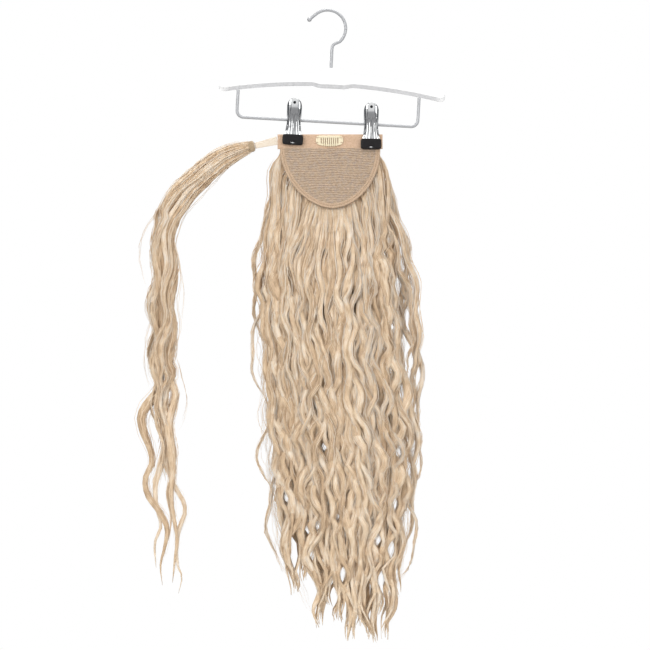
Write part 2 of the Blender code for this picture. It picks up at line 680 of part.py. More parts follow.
def fall_ring(z):
    """The fluted outline of the hair at one height."""
    row = between(FALL_ROWS, "z", z)
    centre_x, half_x = (row["left"] + row["right"]) / 2, (row["right"] - row["left"]) / 2
    centre_y, half_y = (row["front"] + row["back"]) / 2, (row["back"] - row["front"]) / 2
    ring = []
    for k in range(FLUTES * 2):
        angle = math.pi * k / FLUTES
        in_groove = k % 2 == 0
        across, deep = math.cos(angle), math.sin(angle)
        reach_x = half_x * (1 - FLUTE_DEPTH * in_groove)
        reach_y = half_y * (1 - FLUTE_GROOVE * in_groove)
        x = centre_x + reach_x * math.copysign(abs(across) ** FALL_CORNER_X, across)
        y = centre_y + reach_y * math.copysign(abs(deep) ** FALL_CORNER_Y, deep)
        ring.append(Vector((x + wave(z, PHASE_SPREAD * math.sin(PHASE_CYCLES * angle)), y, z)))
    return ring


def build_fall(collection, guides, hair):
    """The fall: a weft backing behind the base, the fluted mass of locks, and their loose ends."""
    top, foot = FALL_ROWS[0]["z"], FALL_ROWS[-1]["z"]
    count = round((top - foot) / SECTION_STEP)
    rings = [fall_ring(top + (foot - top) * k / count) for k in range(count + 1)]
    fall = loft("hair_fall", rings, collection, hair)
    backing = sheet_piece("weft_backing", [backing_outline()], WEFT_BACK - WEFT_FRONT, guides, hair)
    backing.location.y = (WEFT_BACK + WEFT_FRONT) / 2
    joined(fall, as_mesh(backing, guides), "UNION", HAIR_SOLVER)
    for k, row in enumerate(FALL_TIPS):
        start = Vector((row["x"], row["y"], row["z"]))
        tip = Vector((row["tip_x"], row["y"], row["tip_z"]))
        lock = hanging_lock(start, tip, row["half"], FALL_TIP_TURN * k, f"fall_tip_{k}", guides)
        joined(fall, lock, "UNION", HAIR_SOLVER)
    for k, row in enumerate(SIDE_LOCKS):
        start = Vector((row["x"], SIDE_LOCK_Y, row["z"]))
        end = Vector((row["end_x"], SIDE_LOCK_Y, row["end_z"]))
        bulge = row["out"] - (row["x"] + row["end_x"]) / 2
        lock = hanging_lock(start, end, row["half"], SIDE_LOCK_TURN * k, f"side_lock_{k}", guides, bulge)
        joined(fall, lock, "UNION", HAIR_SOLVER)
    return fall


def backing_outline():
    """The wefts behind the base, cut clear of the two back pads."""
    top, low = BAND_TOP - WEFT_BELOW_TOP, FALL_ROWS[0]["z"] - CLOTH_ROUNDING
    edge = [(x, z) for x, z in offset_inwards(cap_outline(WEFT_STEPS), WEFT_INSET) if z < low - WEFT_INSET]
    shoulders = [(WEFT_LEFT, low), (edge[0][0], low), *edge, (edge[-1][0], low), (WEFT_RIGHT, low)]
    return [(WEFT_LEFT, top), *shoulders, (WEFT_RIGHT, top)]


def wrap_ring(centre, along, half, deep):
    """The fluted outline of the wrap lock, square to its middle line."""
    across = Vector((-along.z, 0, along.x))
    ring = []
    for step in range(WRAP_FLUTES * 2):
        angle = math.pi * step / WRAP_FLUTES
        crest = 1 - WRAP_FLUTE_DEPTH * (step % 2 == 0)
        ring.append(centre + across * (half * crest * math.cos(angle)))
        ring[-1].y += deep * crest * math.sin(angle)
    return ring


def wrap_rings():
    """The lock's outlines from the collar down, each square to the line through its neighbours."""
    head = STRAP_END + STRAP_ALONG * (2 * GAP + COLLAR_SIZE[0])
    top, foot = WRAP_ROWS[0]["z"], WRAP_ROWS[-1]["z"]
    rows = [between(WRAP_ROWS, "z", top + (foot - top) * k / WRAP_SECTIONS) for k in range(WRAP_SECTIONS + 1)]
    middles = [head] + [Vector((row["x"] + wave(row["z"], WRAP_PHASE), 0, row["z"])) for row in rows]
    rings = [wrap_ring(head, STRAP_ALONG, WRAP_HEAD["half"], WRAP_HEAD["deep"])]
    for k, row in enumerate(rows, start=1):
        after = middles[min(k + 1, len(rows))]
        rings.append(wrap_ring(middles[k], (after - middles[k - 1]).normalized(), row["half"], row["deep"]))
    return rings


def build_wrap_hair(collection, guides, hair):
    """The lock that is wound round the tie: one fluted mass with loose ends."""
    lock = loft("wrap_hair", wrap_rings(), collection, hair)
    for k, row in enumerate(WRAP_TIPS):
        start = Vector((row["x"], WRAP_TIP_Y, row["z"]))
        tip = Vector((row["tip_x"], WRAP_TIP_Y, row["tip_z"]))
        end = hanging_lock(start, tip, row["half"], WRAP_TIP_TURN * k, f"wrap_tip_{k}", guides)
        joined(lock, end, "UNION", HAIR_SOLVER)
    return lock


def main():
    clear_scene()
    collection = new_collection("ponytail_hairpiece")
    cutters = new_collection("cutters", hidden=True)
    guides = new_collection("joined_shapes", hidden=True)
    finishes = {
        "steel": finish_of("grey_coated_wire", (0.42, 0.42, 0.43), 0.38, 0.6),
        "white": finish_of("white_moulded_plastic", (0.86, 0.86, 0.86), 0.30),
        "chrome": finish_of("chrome_plated_steel", (0.78, 0.78, 0.78), 0.10, 1.0),
        "rubber": finish_of("black_rubber", (0.012, 0.012, 0.015), 0.55),
        "ribbon": finish_of("tan_ribbon", (0.72, 0.49, 0.33), 0.80),
        "tape": finish_of("tan_binding_tape", (0.66, 0.46, 0.29), 0.85),
        "net": finish_of("tan_net", (0.50, 0.36, 0.24), 0.90),
        "comb": finish_of("cream_enamelled_steel", (0.87, 0.80, 0.60), 0.30),
        "strap": finish_of("cream_strap", (0.90, 0.80, 0.68), 0.75),
        "weft": finish_of("stitched_weft", (0.50, 0.36, 0.21), 0.70),
        "hair": finish_of("ash_blonde_hair", (0.60, 0.44, 0.29), 0.42),
    }
    hanger = bpy.data.objects.new("hanger_frame", None)
    collection.objects.link(hanger)
    hanger.rotation_euler = (0, HANGER_LEAN, 0)
    build_hook(hanger, collection, finishes["steel"])
    build_arm(hanger, collection, finishes["white"])
    build_rail(hanger, collection, finishes["steel"])
    for row in CLIPS:
        build_clip(row, hanger, collection, cutters, finishes)
    build_base(collection, finishes)
    build_comb(collection, finishes["comb"])
    build_wrap_strap(collection, finishes)
    build_wrap_hair(collection, guides, finishes["hair"])
    build_fall(collection, guides, finishes["hair"])


main()
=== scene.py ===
"""The wrap-round ponytail hairpiece, hung by two spring clips from its small hanger.

The sections follow the way the thing is put together: the hanger, its clips, the cloth base with its
comb, the strap, and then the hair that is sewn to both. Metres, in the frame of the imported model.
"""

import math
import random

import bmesh
import bpy
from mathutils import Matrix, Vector


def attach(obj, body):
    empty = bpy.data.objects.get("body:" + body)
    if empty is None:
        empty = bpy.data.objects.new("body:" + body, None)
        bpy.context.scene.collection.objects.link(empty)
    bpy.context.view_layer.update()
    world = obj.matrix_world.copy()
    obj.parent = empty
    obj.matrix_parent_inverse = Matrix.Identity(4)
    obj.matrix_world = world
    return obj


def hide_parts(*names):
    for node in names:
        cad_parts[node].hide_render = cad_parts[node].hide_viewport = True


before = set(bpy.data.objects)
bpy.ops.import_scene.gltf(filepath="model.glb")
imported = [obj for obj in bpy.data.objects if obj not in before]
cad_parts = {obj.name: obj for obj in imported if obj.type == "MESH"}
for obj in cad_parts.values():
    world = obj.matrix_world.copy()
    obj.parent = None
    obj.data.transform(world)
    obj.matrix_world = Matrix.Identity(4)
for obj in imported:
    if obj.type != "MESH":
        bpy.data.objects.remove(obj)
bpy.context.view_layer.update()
Y = Vector((0, 1, 0))

# The hook: one bent steel wire with a moulded ball on its tip, so that it doesn't catch.
# It is coated in matt grey powder, which leaves a soft, faintly pebbled grey with no mirror in it.
HANGER_LEAN = math.radians(3.2)
WIRE = 0.0034
HOOK_RADIUS = 0.020
HOOK_BOW = (132, -44)  # degrees round the bow, from the tail over the top to the stem
HOOK_TAIL = 0.0095
HOOK_BALL = 0.0052
STEM = [(0.0089, -0.0358), (0.0073, -0.0400), (0.0073, -0.0500), (0.0073, -0.0615)]
PEBBLE = 0.0006  # grain of the powder coat, drawn coarse enough to show


def linear(colour):
    """An sRGB hex colour as the linear values that Blender wants."""
    values = [int(colour[k:k + 2], 16) / 255 for k in (1, 3, 5)]
    return (*[v / 12.92 if v <= 0.04045 else ((v + 0.055) / 1.055) ** 2.4 for v in values], 1.0)


def add(tree, kind, links=None, into=None, stops=(), **settings):
    """A node with its settings; what goes into its sockets, as values, outputs or whole nodes, which
    give their first output; the socket that its own goes into; and, for a colour ramp, its hex stops."""
    node = tree.nodes.new(kind)
    for name, value in settings.items():
        setattr(node, name, value)
    for socket, source in (links or {}).items():
        if isinstance(source, bpy.types.Node):
            source = source.outputs[0]
        if isinstance(source, bpy.types.NodeSocket):
            tree.links.new(source, node.inputs[socket])
        else:
            node.inputs[socket].default_value = source
    if into is not None:
        tree.links.new(node.outputs[0], into)
    for _ in stops[2:]:
        node.color_ramp.elements.new(0.5)
    for k, (place, colour) in enumerate(stops):
        node.color_ramp.elements[k].position = place
        node.color_ramp.elements[k].color = linear(colour)
    return node


def finish_of(name, colour, roughness, metallic=0.0, **sockets):
    """A Principled material with its plain values set on the shader itself."""
    material = bpy.data.materials.new(name)
    material.use_nodes = True
    shader = material.node_tree.nodes["Principled BSDF"]
    shader.inputs["Base Color"].default_value = linear(colour)
    shader.inputs["Roughness"].default_value = roughness
    shader.inputs["Metallic"].default_value = metallic
    for socket, value in sockets.items():
        shader.inputs[socket.replace("_", " ")].default_value = value
    return material, material.node_tree, shader


def object_place(tree, scale):
    """Object coordinates, in turns of a pattern whose real sizes are given along X, Y and Z."""
    place = add(tree, "ShaderNodeTexCoord").outputs["Object"]
    return add(tree, "ShaderNodeMapping", {0: place, "Scale": [1 / size for size in scale]})


def rounded_path(points, step):
    """A smooth curve through the points, read off at even steps."""
    ends = [points[0] * 2 - points[1], *points, points[-1] * 2 - points[-2]]
    dense = []
    for a, b, c, d in zip(ends, ends[1:], ends[2:], ends[3:]):
        for k in range(12):
            t = k / 12
            dense.append(0.5 * (2 * b + (c - a) * t + (2 * a - 5 * b + 4 * c - d) * t * t
                                + (3 * b - a - 3 * c + d) * t ** 3))
    dense.append(points[-1])
    lengths = [0.0]
    for a, b in zip(dense, dense[1:]):
        lengths.append(lengths[-1] + (b - a).length)
    count = max(round(lengths[-1] / step), 2)
    path, k = [], 0
    for n in range(count + 1):
        reach = lengths[-1] * n / count
        while k < len(dense) - 2 and lengths[k + 1] < reach:
            k += 1
        share = (reach - lengths[k]) / max(lengths[k + 1] - lengths[k], 1e-9)
        path.append(dense[k].lerp(dense[k + 1], min(share, 1.0)))
    return path


def ring_profile(sides, groove=0.0, flutes=0):
    """Points round a unit circle, drawn in where a flute runs."""
    turns = [2 * math.pi * k / sides for k in range(sides)]
    return [((1 - groove * (0.5 + 0.5 * math.cos(flutes * a))) * math.cos(a),
             (1 - groove * (0.5 + 0.5 * math.cos(flutes * a))) * math.sin(a)) for a in turns]


def rings_along(points, sizes, profile, side=Y):
    """Rings square to a path; a size is the half width across it and the half depth towards side."""
    rings = []
    for k, point in enumerate(points):
        along = (points[min(k + 1, len(points) - 1)] - points[max(k - 1, 0)]).normalized()
        across = along.cross(side).normalized()
        deep = across.cross(along)
        half, depth = sizes[k]
        rings.append([point + across * (a * half) + deep * (b * depth) for a, b in profile])
    return rings


def loft_into(skin, rings, tone=0.0):
    """Adds a closed skin through the rings: u runs round it and v along it, in metres."""
    places, faces, corners, tones = skin
    first, count, v = len(places), len(rings[0]), 0.0
    for ring in rings:
        places.extend(ring)
        tones.extend([tone] * count)
    for r in range(len(rings) - 1):
        longer = v + (sum(rings[r + 1], Vector()) - sum(rings[r], Vector())).length / count
        for k in range(count):
            a, b = first + r * count + k, first + r * count + (k + 1) % count
            faces.append((a, b, b + count, a + count))
            u, w = k / count, (k + 1) / count
            corners.extend(((u, v), (w, v), (w, longer), (u, longer)))
        v = longer
    last = len(places) - count
    foot, head = [first + k for k in range(count)][::-1], [last + k for k in range(count)]
    for cap, height in ((foot, 0.0), (head, v)):
        faces.append(tuple(cap))
        corners.extend((k / count, height) for k in range(count))


def new_skin():
    """An empty skin: its points, faces, UV corners and the tone of each point."""
    return [], [], [], []


def mesh_of(name, skin, sharp=math.radians(50)):
    """The skin as a mesh, its faces outwards, smooth but for its real edges."""
    places, faces, corners, tones = skin
    mesh = bpy.data.meshes.new(name)
    mesh.from_pydata(places, [], faces)
    layer = mesh.uv_layers.new(name="UVMap")
    layer.data.foreach_set("uv", [value for corner in corners for value in corner])
    mesh.attributes.new("tone", "FLOAT", "POINT").data.foreach_set("value", tones)
    shape = bmesh.new()
    shape.from_mesh(mesh)
    bmesh.ops.recalc_face_normals(shape, faces=shape.faces)
    shape.to_mesh(mesh)
    shape.free()
    mesh.shade_smooth()
    if sharp:
        mesh.set_sharp_from_angle(angle=sharp)
    return mesh


def piece_of(name, mesh, material, nodes=(), body="hairpiece"):
    """The mesh as a piece of the object, on its body, in place of the solids that it stands for."""
    piece = bpy.data.objects.new(name, mesh)
    bpy.context.scene.collection.objects.link(piece)
    if material:
        mesh.materials.clear()
        mesh.materials.append(material)
    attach(piece, body)
    if nodes:
        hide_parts(*nodes)
    return piece


def hung(x, z, y=0.0):
    """A place on the hanger, which leans about the inside of the hook."""
    cos, sin = math.cos(HANGER_LEAN), math.sin(HANGER_LEAN)
    return Vector((x * cos + z * sin, y, z * cos - x * sin))


def arc(x, z, radius, start, end, steps):
    """Places on the hanger round a centre, from one angle in degrees to another."""
    angles = [math.radians(start + (end - start) * k / steps) for k in range(steps + 1)]
    return [hung(x + radius * math.cos(a), z + radius * math.sin(a)) for a in angles]


def wire_into(skin, path, radius, sides=14, side=Y):
    """Adds a round wire along a path."""
    loft_into(skin, rings_along(path, [(radius, radius)] * len(path), ring_profile(sides), side))


def ball_into(skin, centre, radius, rows=10, sides=16):
    """Adds a ball, closed by a small flat at each pole."""
    rings = []
    for r in range(1, rows):
        a = math.pi * r / rows
        size = radius * math.sin(a)
        rings.append([centre + Vector((size * math.cos(t), size * math.sin(t), radius * math.cos(a)))
                      for t in (2 * math.pi * k / sides for k in range(sides))])
    loft_into(skin, rings)


powder_coat, tree, shader = finish_of("grey_powder_coated_steel", "#B4B5B7", 0.42, 0.25)
grain = add(tree, "ShaderNodeTexNoise", {"Vector": object_place(tree, (PEBBLE,) * 3), "Detail": 2.0})
add(tree, "ShaderNodeValToRGB", {0: grain}, shader.inputs["Base Color"], [(0.3, "#ABACAE"), (0.7, "#C0C1C3")])
add(tree, "ShaderNodeBump", {"Height": grain, "Distance": 0.00004}, shader.inputs["Normal"])

skin = new_skin()
drop = HOOK_RADIUS - WIRE / 2
bow_x, bow_z = drop * math.sin(HANGER_LEAN), -drop * math.cos(HANGER_LEAN)
bow = arc(bow_x, bow_z, HOOK_RADIUS, *HOOK_BOW, 44)
tail_angle = math.radians(HOOK_BOW[0])
tail_way = hung(-math.sin(tail_angle), math.cos(tail_angle))
tail = [bow[0] + tail_way * (HOOK_TAIL * k / 4) for k in (4, 3, 2, 1)]
stem = rounded_path([bow[-1], *[hung(x, z) for x, z in STEM]], 0.0012)
wire_into(skin, tail + bow + stem[1:], WIRE / 2, 16)
ball_into(skin, tail[0], HOOK_BALL / 2)
piece_of("hook_wire", mesh_of("hook_wire", skin), powder_coat, ["hanger_hook"])

# The arm: an arched bar with a round boss for the hook's stem, injection moulded in white ABS.
# The plastic is glossy and faintly wavy where it sank as it cooled; the grey along its foot is painted shade.
ARM_X = 0.0098
ARM_HALF_LENGTH = 0.1245
ARM_UNDERSIDE = 0.0812
ARM_SAG = 0.0122
ARM_SLIP = 0.0016  # how much lower its left end has slipped on the wire
ARM_HEIGHT = 0.0120
ARM_THICKNESS = 0.0060
BOSS_TOP = -0.0618
BOSS_DIP = 0.0022
BOSS_SHOULDER = 0.0240
BOSS_SWELL = 0.0012  # how far the boss stands proud of the arm's faces
ARM_TOP_EDGE = 0.0008
ARM_FOOT_EDGE = 0.0007
ARM_DRAFT = dict(height=0.0040, inset=0.34)  # its lower part slopes back, down to this share of the depth
PAINTED_SHADE_FROM_END = 0.009  # the painted shade along its foot fades out over this length at each end
SINK_WAVE = 0.014


def arm_middle(x):
    """Height of the arm's middle line at a distance from its middle."""
    share = x / ARM_HALF_LENGTH
    return -(ARM_UNDERSIDE + ARM_SAG * share ** 2 + ARM_SLIP * (0.5 - share / 2))


def arm_ring(x):
    """The arm's section at a distance from its middle: flat faces that slope back to a narrower foot."""
    near = max(0.0, 1 - abs(x) / BOSS_SHOULDER)
    rise = math.sin(math.pi / 2 * near) ** 2
    low = arm_middle(x) - BOSS_DIP * min(1.0, rise * 3)
    top = arm_middle(x) + ARM_HEIGHT + rise * (BOSS_TOP + ARM_UNDERSIDE - ARM_HEIGHT)
    to_end = min(1.0, (ARM_HALF_LENGTH - abs(x)) / (ARM_HEIGHT / 2))
    shrink = max(math.sqrt(max(0.0, 1 - (1 - to_end) ** 2)), 0.04)
    middle, half = (low + top) / 2, (top - low) / 2 * shrink
    depth = (ARM_THICKNESS / 2 + BOSS_SWELL * rise) * shrink ** 0.5
    draft, inset = min(ARM_DRAFT["height"], half * 1.2), ARM_DRAFT["inset"] * depth
    edge, foot = min(ARM_TOP_EDGE, half * 0.5), min(ARM_FOOT_EDGE, half * 0.3)
    turns = [math.pi / 2 * k / 5 for k in range(6)]
    face = [(half - edge + edge * math.cos(a), depth - edge + edge * math.sin(a)) for a in turns]
    knee = draft - half
    face += [(knee + 0.0003, depth), (knee, depth - 0.00006), (knee - 0.0003, depth - 0.0002)]
    face += [(foot * (1 - math.sin(a)) - half, inset - foot * (1 - math.cos(a))) for a in turns]
    ring = [(up, out) for up, out in face] + [(up, -out) for up, out in face[::-1]]
    return [hung(ARM_X + x, middle + up, out) for up, out in ring]


# White ABS: a bright body colour under a gloss that shows as long soft streaks along the bar, with painted
# shade in grey along its foot.
white_abs, tree, shader = finish_of("white_moulded_abs", "#F1F1F0", 0.24, IOR=1.54)
sink = add(tree, "ShaderNodeTexNoise", {"Vector": object_place(tree, (SINK_WAVE,) * 3), "Detail": 1.0})
unshaded_white = add(tree, "ShaderNodeValToRGB", {0: sink}, stops=[(0.3, "#F7F7F6"), (0.7, "#FCFCFB")])
# Painted shade: a light grey for the foot's rounding, where the shade falls.
painted_shade_grey = add(tree, "ShaderNodeValToRGB", {0: sink}, stops=[(0.3, "#CFCFD0"), (0.7, "#DADADB")])
below = add(tree, "ShaderNodeAttribute", attribute_name="below").outputs["Fac"]
both = add(tree, "ShaderNodeMix", {0: below, 6: unshaded_white, 7: painted_shade_grey}, data_type="RGBA")
tree.links.new(both.outputs[2], shader.inputs["Base Color"])
add(tree, "ShaderNodeBump", {"Height": sink, "Distance": 0.0003}, shader.inputs["Normal"])

skin = new_skin()
stations = [ARM_HALF_LENGTH * math.sin(math.pi / 2 * k / 60) for k in range(-60, 61)]
rings = [arm_ring(x * 0.9995) for x in stations]
loft_into(skin, rings)
mesh = mesh_of("arm_moulding", skin)
half_ring = len(rings[0]) // 2
# Painted shade: the points round the foot get the grey, which fades out towards the ends.
shaded = []
for x in stations:
    wear_and_painted_shade = min(1.0, max(0.15, (ARM_HALF_LENGTH - abs(x)) / PAINTED_SHADE_FROM_END - 0.3))
    shaded += [wear_and_painted_shade if half_ring - 7 <= k <= half_ring + 6 else 0.0 for k in range(len(rings[0]))]
mesh.attributes.new("below", "FLOAT", "POINT").data.foreach_set("value", shaded)
piece_of("arm_moulding", mesh, white_abs, ["hanger_arm"])

# The rail: a second length of the same coated wire, bent to a shallow U and pushed up into the arm.
# The clips slide along it.
RAIL_X = 0.0063
RAIL_HALF_WIDTH = 0.0996
RAIL_DROP = 0.1212
RAIL_BEND = 0.0075
RAIL_TOP_GAP = 0.0006

skin = new_skin()
left, right = RAIL_X - RAIL_HALF_WIDTH, RAIL_X + RAIL_HALF_WIDTH
left_top, right_top = (hung(x, arm_middle(x - ARM_X) - RAIL_TOP_GAP) for x in (left, right))
path = arc(left + RAIL_BEND, RAIL_BEND - RAIL_DROP, RAIL_BEND, 180, 270, 12)
path += arc(right - RAIL_BEND, RAIL_BEND - RAIL_DROP, RAIL_BEND, 270, 360, 12)
wire_into(skin, [left_top, *path, right_top], WIRE / 2)
piece_of("rail_wire", mesh_of("rail_wire", skin), powder_coat, ["hanger_rail"])

# The spring clips: two pressed steel jaws each, back to back, chrome plated and polished, with a small
# eye in the handle, flutes that stiffen the lower half, and edges turned in towards the cloth.
CLIPS = [
    dict(side="left", x=-0.0302, lean=0.0),
    dict(side="right", x=0.0548, lean=math.radians(-2.7)),
]
JAW_ROWS = [  # drop below the rail, half width, distance from the cloth, depth of the turned-in edge
    dict(drop=-0.0228, half=0.0012, off=0.0098, edge=0.0003),
    dict(drop=-0.0224, half=0.0030, off=0.0100, edge=0.0005),
    dict(drop=-0.0216, half=0.0045, off=0.0102, edge=0.0008),
    dict(drop=-0.0200, half=0.0060, off=0.0102, edge=0.0013),
    dict(drop=-0.0180, half=0.0070, off=0.0101, edge=0.0017),
    dict(drop=-0.0150, half=0.0077, off=0.0097, edge=0.0022),
    dict(drop=-0.0070, half=0.0079, off=0.0084, edge=0.0034),
    dict(drop=0.0000, half=0.0076, off=0.0068, edge=0.0044),
    dict(drop=0.0060, half=0.0075, off=0.0056, edge=0.0026),
    dict(drop=0.0115, half=0.0082, off=0.0047, edge=0.0014),
    dict(drop=0.0155, half=0.0090, off=0.0042, edge=0.0004),
    dict(drop=0.0246, half=0.0086, off=0.0034, edge=0.0),
]
JAW_SHEET = 0.0008
FLUTE_COUNT = 5
FLUTE_HEIGHT = 0.00034
FLUTE_REACH = 0.86  # how far the flutes go towards the jaw's edges
FLUTE_RANGE = (-0.0070, 0.0210)
GROOVE = dict(depth=0.0009, half=0.085)  # the narrow stiffening groove down the middle
HANDLE_DOME = dict(height=0.0010, drop=-0.0135, half=0.0060)
EYE_DROP = -0.0182
EYE_RADIUS = 0.0016
POLISH_MARKS = (0.0016 / 3, 0.0016, 0.0032)  # faint rubbing marks, longest down the jaw


def between(rows, key, place):
    """The row values at a place along the rows' key, eased so that they join smoothly."""
    ordered = sorted(rows, key=lambda row: row[key])
    place = min(max(place, ordered[0][key]), ordered[-1][key])
    last = len(ordered) - 1
    k = min(max(i for i in range(len(ordered)) if ordered[i][key] <= place), last - 1)
    before, a, b, after = (ordered[min(max(k + shift, 0), last)] for shift in (-1, 0, 1, 2))
    t = (place - a[key]) / (b[key] - a[key])
    smooth = t * t * (3 - 2 * t)
    values = {}
    for column in a:
        slope_a, slope_b = (b[column] - before[column]) / 2, (after[column] - a[column]) / 2
        values[column] = a[column] * (1 - smooth) + b[column] * smooth
        values[column] += slope_a * t * (1 - t) ** 2 - slope_b * t * t * (1 - t)
    return values


def clip_place(row, x, y, z):
    """A place on a clip, which turns about the rail where it hangs."""
    cos, sin = math.cos(row["lean"]), math.sin(row["lean"])
    return hung(row["x"] + x * cos + z * sin, z * cos - x * sin - RAIL_DROP, y)


def jaw_mesh(name, row, facing):
    """A pressed jaw: the sheet's outline and edges from the table, with its dome and flutes."""
    shape = bmesh.new()
    grid = []
    for r in range(61):
        drop = JAW_ROWS[0]["drop"] + (JAW_ROWS[-1]["drop"] - JAW_ROWS[0]["drop"]) * r / 60
        jaw = between(JAW_ROWS, "drop", drop)
        inside = (drop - FLUTE_RANGE[0]) / (FLUTE_RANGE[1] - FLUTE_RANGE[0])
        fluted = math.sin(math.pi * min(max(inside, 0.0), 1.0)) ** 0.5 if 0 < inside < 1 else 0.0
        domed = math.exp(-((drop - HANDLE_DOME["drop"]) / HANDLE_DOME["half"]) ** 2)
        line = []
        for c in range(41):
            across = -1 + c / 20
            turned = abs(across) ** 7 * jaw["edge"]
            flute = math.cos(2 * math.pi * FLUTE_COUNT * across / 1.7) * (abs(across) < FLUTE_REACH)
            groove = GROOVE["depth"] * math.exp(-(across / GROOVE["half"]) ** 2)
            dome = HANDLE_DOME["height"] * domed * (1 - across * across)
            out = jaw["off"] + (FLUTE_HEIGHT * flute - groove) * fluted + dome - turned
            line.append(shape.verts.new(clip_place(row, across * jaw["half"], -facing * out, -drop)))
        grid.append(line)
    for upper, lower in zip(grid, grid[1:]):
        for k in range(40):
            shape.faces.new((upper[k], lower[k], lower[k + 1], upper[k + 1]))
    if facing < 0:
        bmesh.ops.reverse_faces(shape, faces=shape.faces)
    mesh = bpy.data.meshes.new(name)
    shape.to_mesh(mesh)
    shape.free()
    mesh.shade_smooth()
    return mesh


def evaluated(obj):
    """The object's mesh with its modifiers made real, and the object itself removed."""
    bpy.context.view_layer.update()
    graph = bpy.context.evaluated_depsgraph_get()
    mesh = bpy.data.meshes.new_from_object(obj.evaluated_get(graph))
    bpy.data.objects.remove(obj)
    return mesh


def loose(name, mesh):
    """An object in the scene that isn't a piece yet."""
    obj = bpy.data.objects.new(name, mesh)
    bpy.context.scene.collection.objects.link(obj)
    return obj


def pressed(name, row, facing):
    """The jaw's sheet with its wall; the eye is punched through the front handle only."""
    jaw = loose(name + "_sheet", jaw_mesh(name + "_sheet", row, facing))
    wall = jaw.modifiers.new("wall", "SOLIDIFY")
    wall.thickness = JAW_SHEET
    wall.offset = 0
    eye = new_skin()
    out = between(JAW_ROWS, "drop", EYE_DROP)["off"]
    ends = [clip_place(row, 0, -facing * (out + reach), -EYE_DROP) for reach in (-0.004, 0.0, 0.004)]
    wire_into(eye, ends, EYE_RADIUS, 20, Vector((1, 0, 0)))
    punch = loose(name + "_punch", mesh_of(name + "_punch", eye))
    if facing > 0:
        cut = jaw.modifiers.new("eye", "BOOLEAN")
        cut.operation = "DIFFERENCE"
        cut.object = punch
    mesh = evaluated(jaw)
    bpy.data.objects.remove(punch)
    mesh.name = name
    mesh.shade_smooth()
    mesh.set_sharp_from_angle(angle=math.radians(42))
    return mesh


# Bright chrome plate: it mirrors the white walls and the dark corners of the studio in sharp bands.
chrome, tree, shader = finish_of("polished_chrome_plate", "#C9CACB", 0.09, 1.0)
marks = add(tree, "ShaderNodeTexNoise", {"Vector": object_place(tree, POLISH_MARKS), "Detail": 3.0})
add(tree, "ShaderNodeMapRange", {0: marks, 1: 0.35, 2: 0.75, 3: 0.05, 4: 0.14}, shader.inputs["Roughness"])
add(tree, "ShaderNodeValToRGB", {0: marks}, shader.inputs["Base Color"], [(0.3, "#CDCECE"), (0.7, "#E0E1E1")])
for row in CLIPS:
    for face, facing in (("front", 1), ("back", -1)):
        name = f"clip_{row['side']}_{face}_jaw"
        piece_of(name + "_pressing", pressed(name + "_pressing", row, facing), chrome, [name])

# The eye cups: a short, dull, near-black metal cup set behind the eye of each front jaw, as painted shade for
# the inside of the eye.
# The eye shows as a dark dot because of it.
EYE_CUP_DEPTH = 0.0020
EYE_CUP_SPECKLE = 0.0006

# Painted shade: a near-black colour for the shade inside the eye.
eye_shade_black, tree, shader = finish_of("eye_cup_painted_shade_black", "#1B1C1E", 0.55, 0.6)
eye_cup_speckle = add(tree, "ShaderNodeTexNoise", {"Vector": object_place(tree, (EYE_CUP_SPECKLE,) * 3), "Detail": 2.0})
add(tree, "ShaderNodeValToRGB", {0: eye_cup_speckle}, shader.inputs["Base Color"], [(0.3, "#141517"), (0.7, "#26282A")])
for row in CLIPS:
    skin = new_skin()
    inner_face = between(JAW_ROWS, "drop", EYE_DROP)["off"] + HANDLE_DOME["height"] * 0.5 - JAW_SHEET / 2
    face = inner_face - 0.0001
    ends = [clip_place(row, 0, -(face - EYE_CUP_DEPTH * k / 3), -EYE_DROP) for k in range(4)]
    wire_into(skin, ends, EYE_RADIUS * 1.35, 20, Vector((1, 0, 0)))
    name = f"clip_{row['side']}_eye_shade_cup"
    piece_of(name, mesh_of(name, skin), eye_shade_black, ())

# The clip pads: soft black rubber boots that are dipped or pushed over the ends of the jaws.
# They grip the cloth; the rubber is dull, rounded at its edges, and dimpled where the mould held it.
PAD_HALF_WIDTH = 0.0113
PAD_TOP = 0.0160
PAD_FOOT = 0.0276
PAD_FRONT = 0.0059
PAD_BACK = 0.0011
PAD_CORNER = 7  # power of the rounded outline: 2 would be an ellipse
DIMPLE = dict(lift=0.0022, half=0.0024, high=0.0011, depth=0.0012)
RUBBER_GRAIN = 0.0005
RUBBER_WEAR = 0.006  # patches rubbed a little shinier


def rounded_box(u, v, power):
    """A direction on the unit sphere pushed out to a box with rounded edges."""
    flat = Vector((math.cos(v) * math.cos(u), math.cos(v) * math.sin(u), math.sin(v)))
    reach = sum(abs(value) ** power for value in flat) ** (-1 / power)
    return flat * reach


def pad_mesh(name, row, facing):
    """A pad as a rounded block with a dimple at the middle of its lower edge."""
    skin = new_skin()
    rings = []
    middle_y, half_y = (PAD_FRONT + PAD_BACK) / 2, (PAD_FRONT - PAD_BACK) / 2
    middle_z, half_z = -(PAD_TOP + PAD_FOOT) / 2, (PAD_FOOT - PAD_TOP) / 2
    for r in range(1, 40):
        v = math.pi * (r / 40 - 0.5)
        ring = []
        for k in range(72):
            unit = rounded_box(2 * math.pi * k / 72, v, PAD_CORNER)
            x, y, z = unit.x * PAD_HALF_WIDTH, middle_y - unit.y * half_y, middle_z + unit.z * half_z
            off_x, off_z = x / DIMPLE["half"], (z + PAD_FOOT - DIMPLE["lift"]) / DIMPLE["high"]
            if unit.y < 0:
                y -= DIMPLE["depth"] * math.exp(-(off_x ** 2 + off_z ** 2) ** 2)
            ring.append(clip_place(row, x, -facing * y, z))
        rings.append(ring)
    loft_into(skin, rings)
    return mesh_of(name, skin, None)


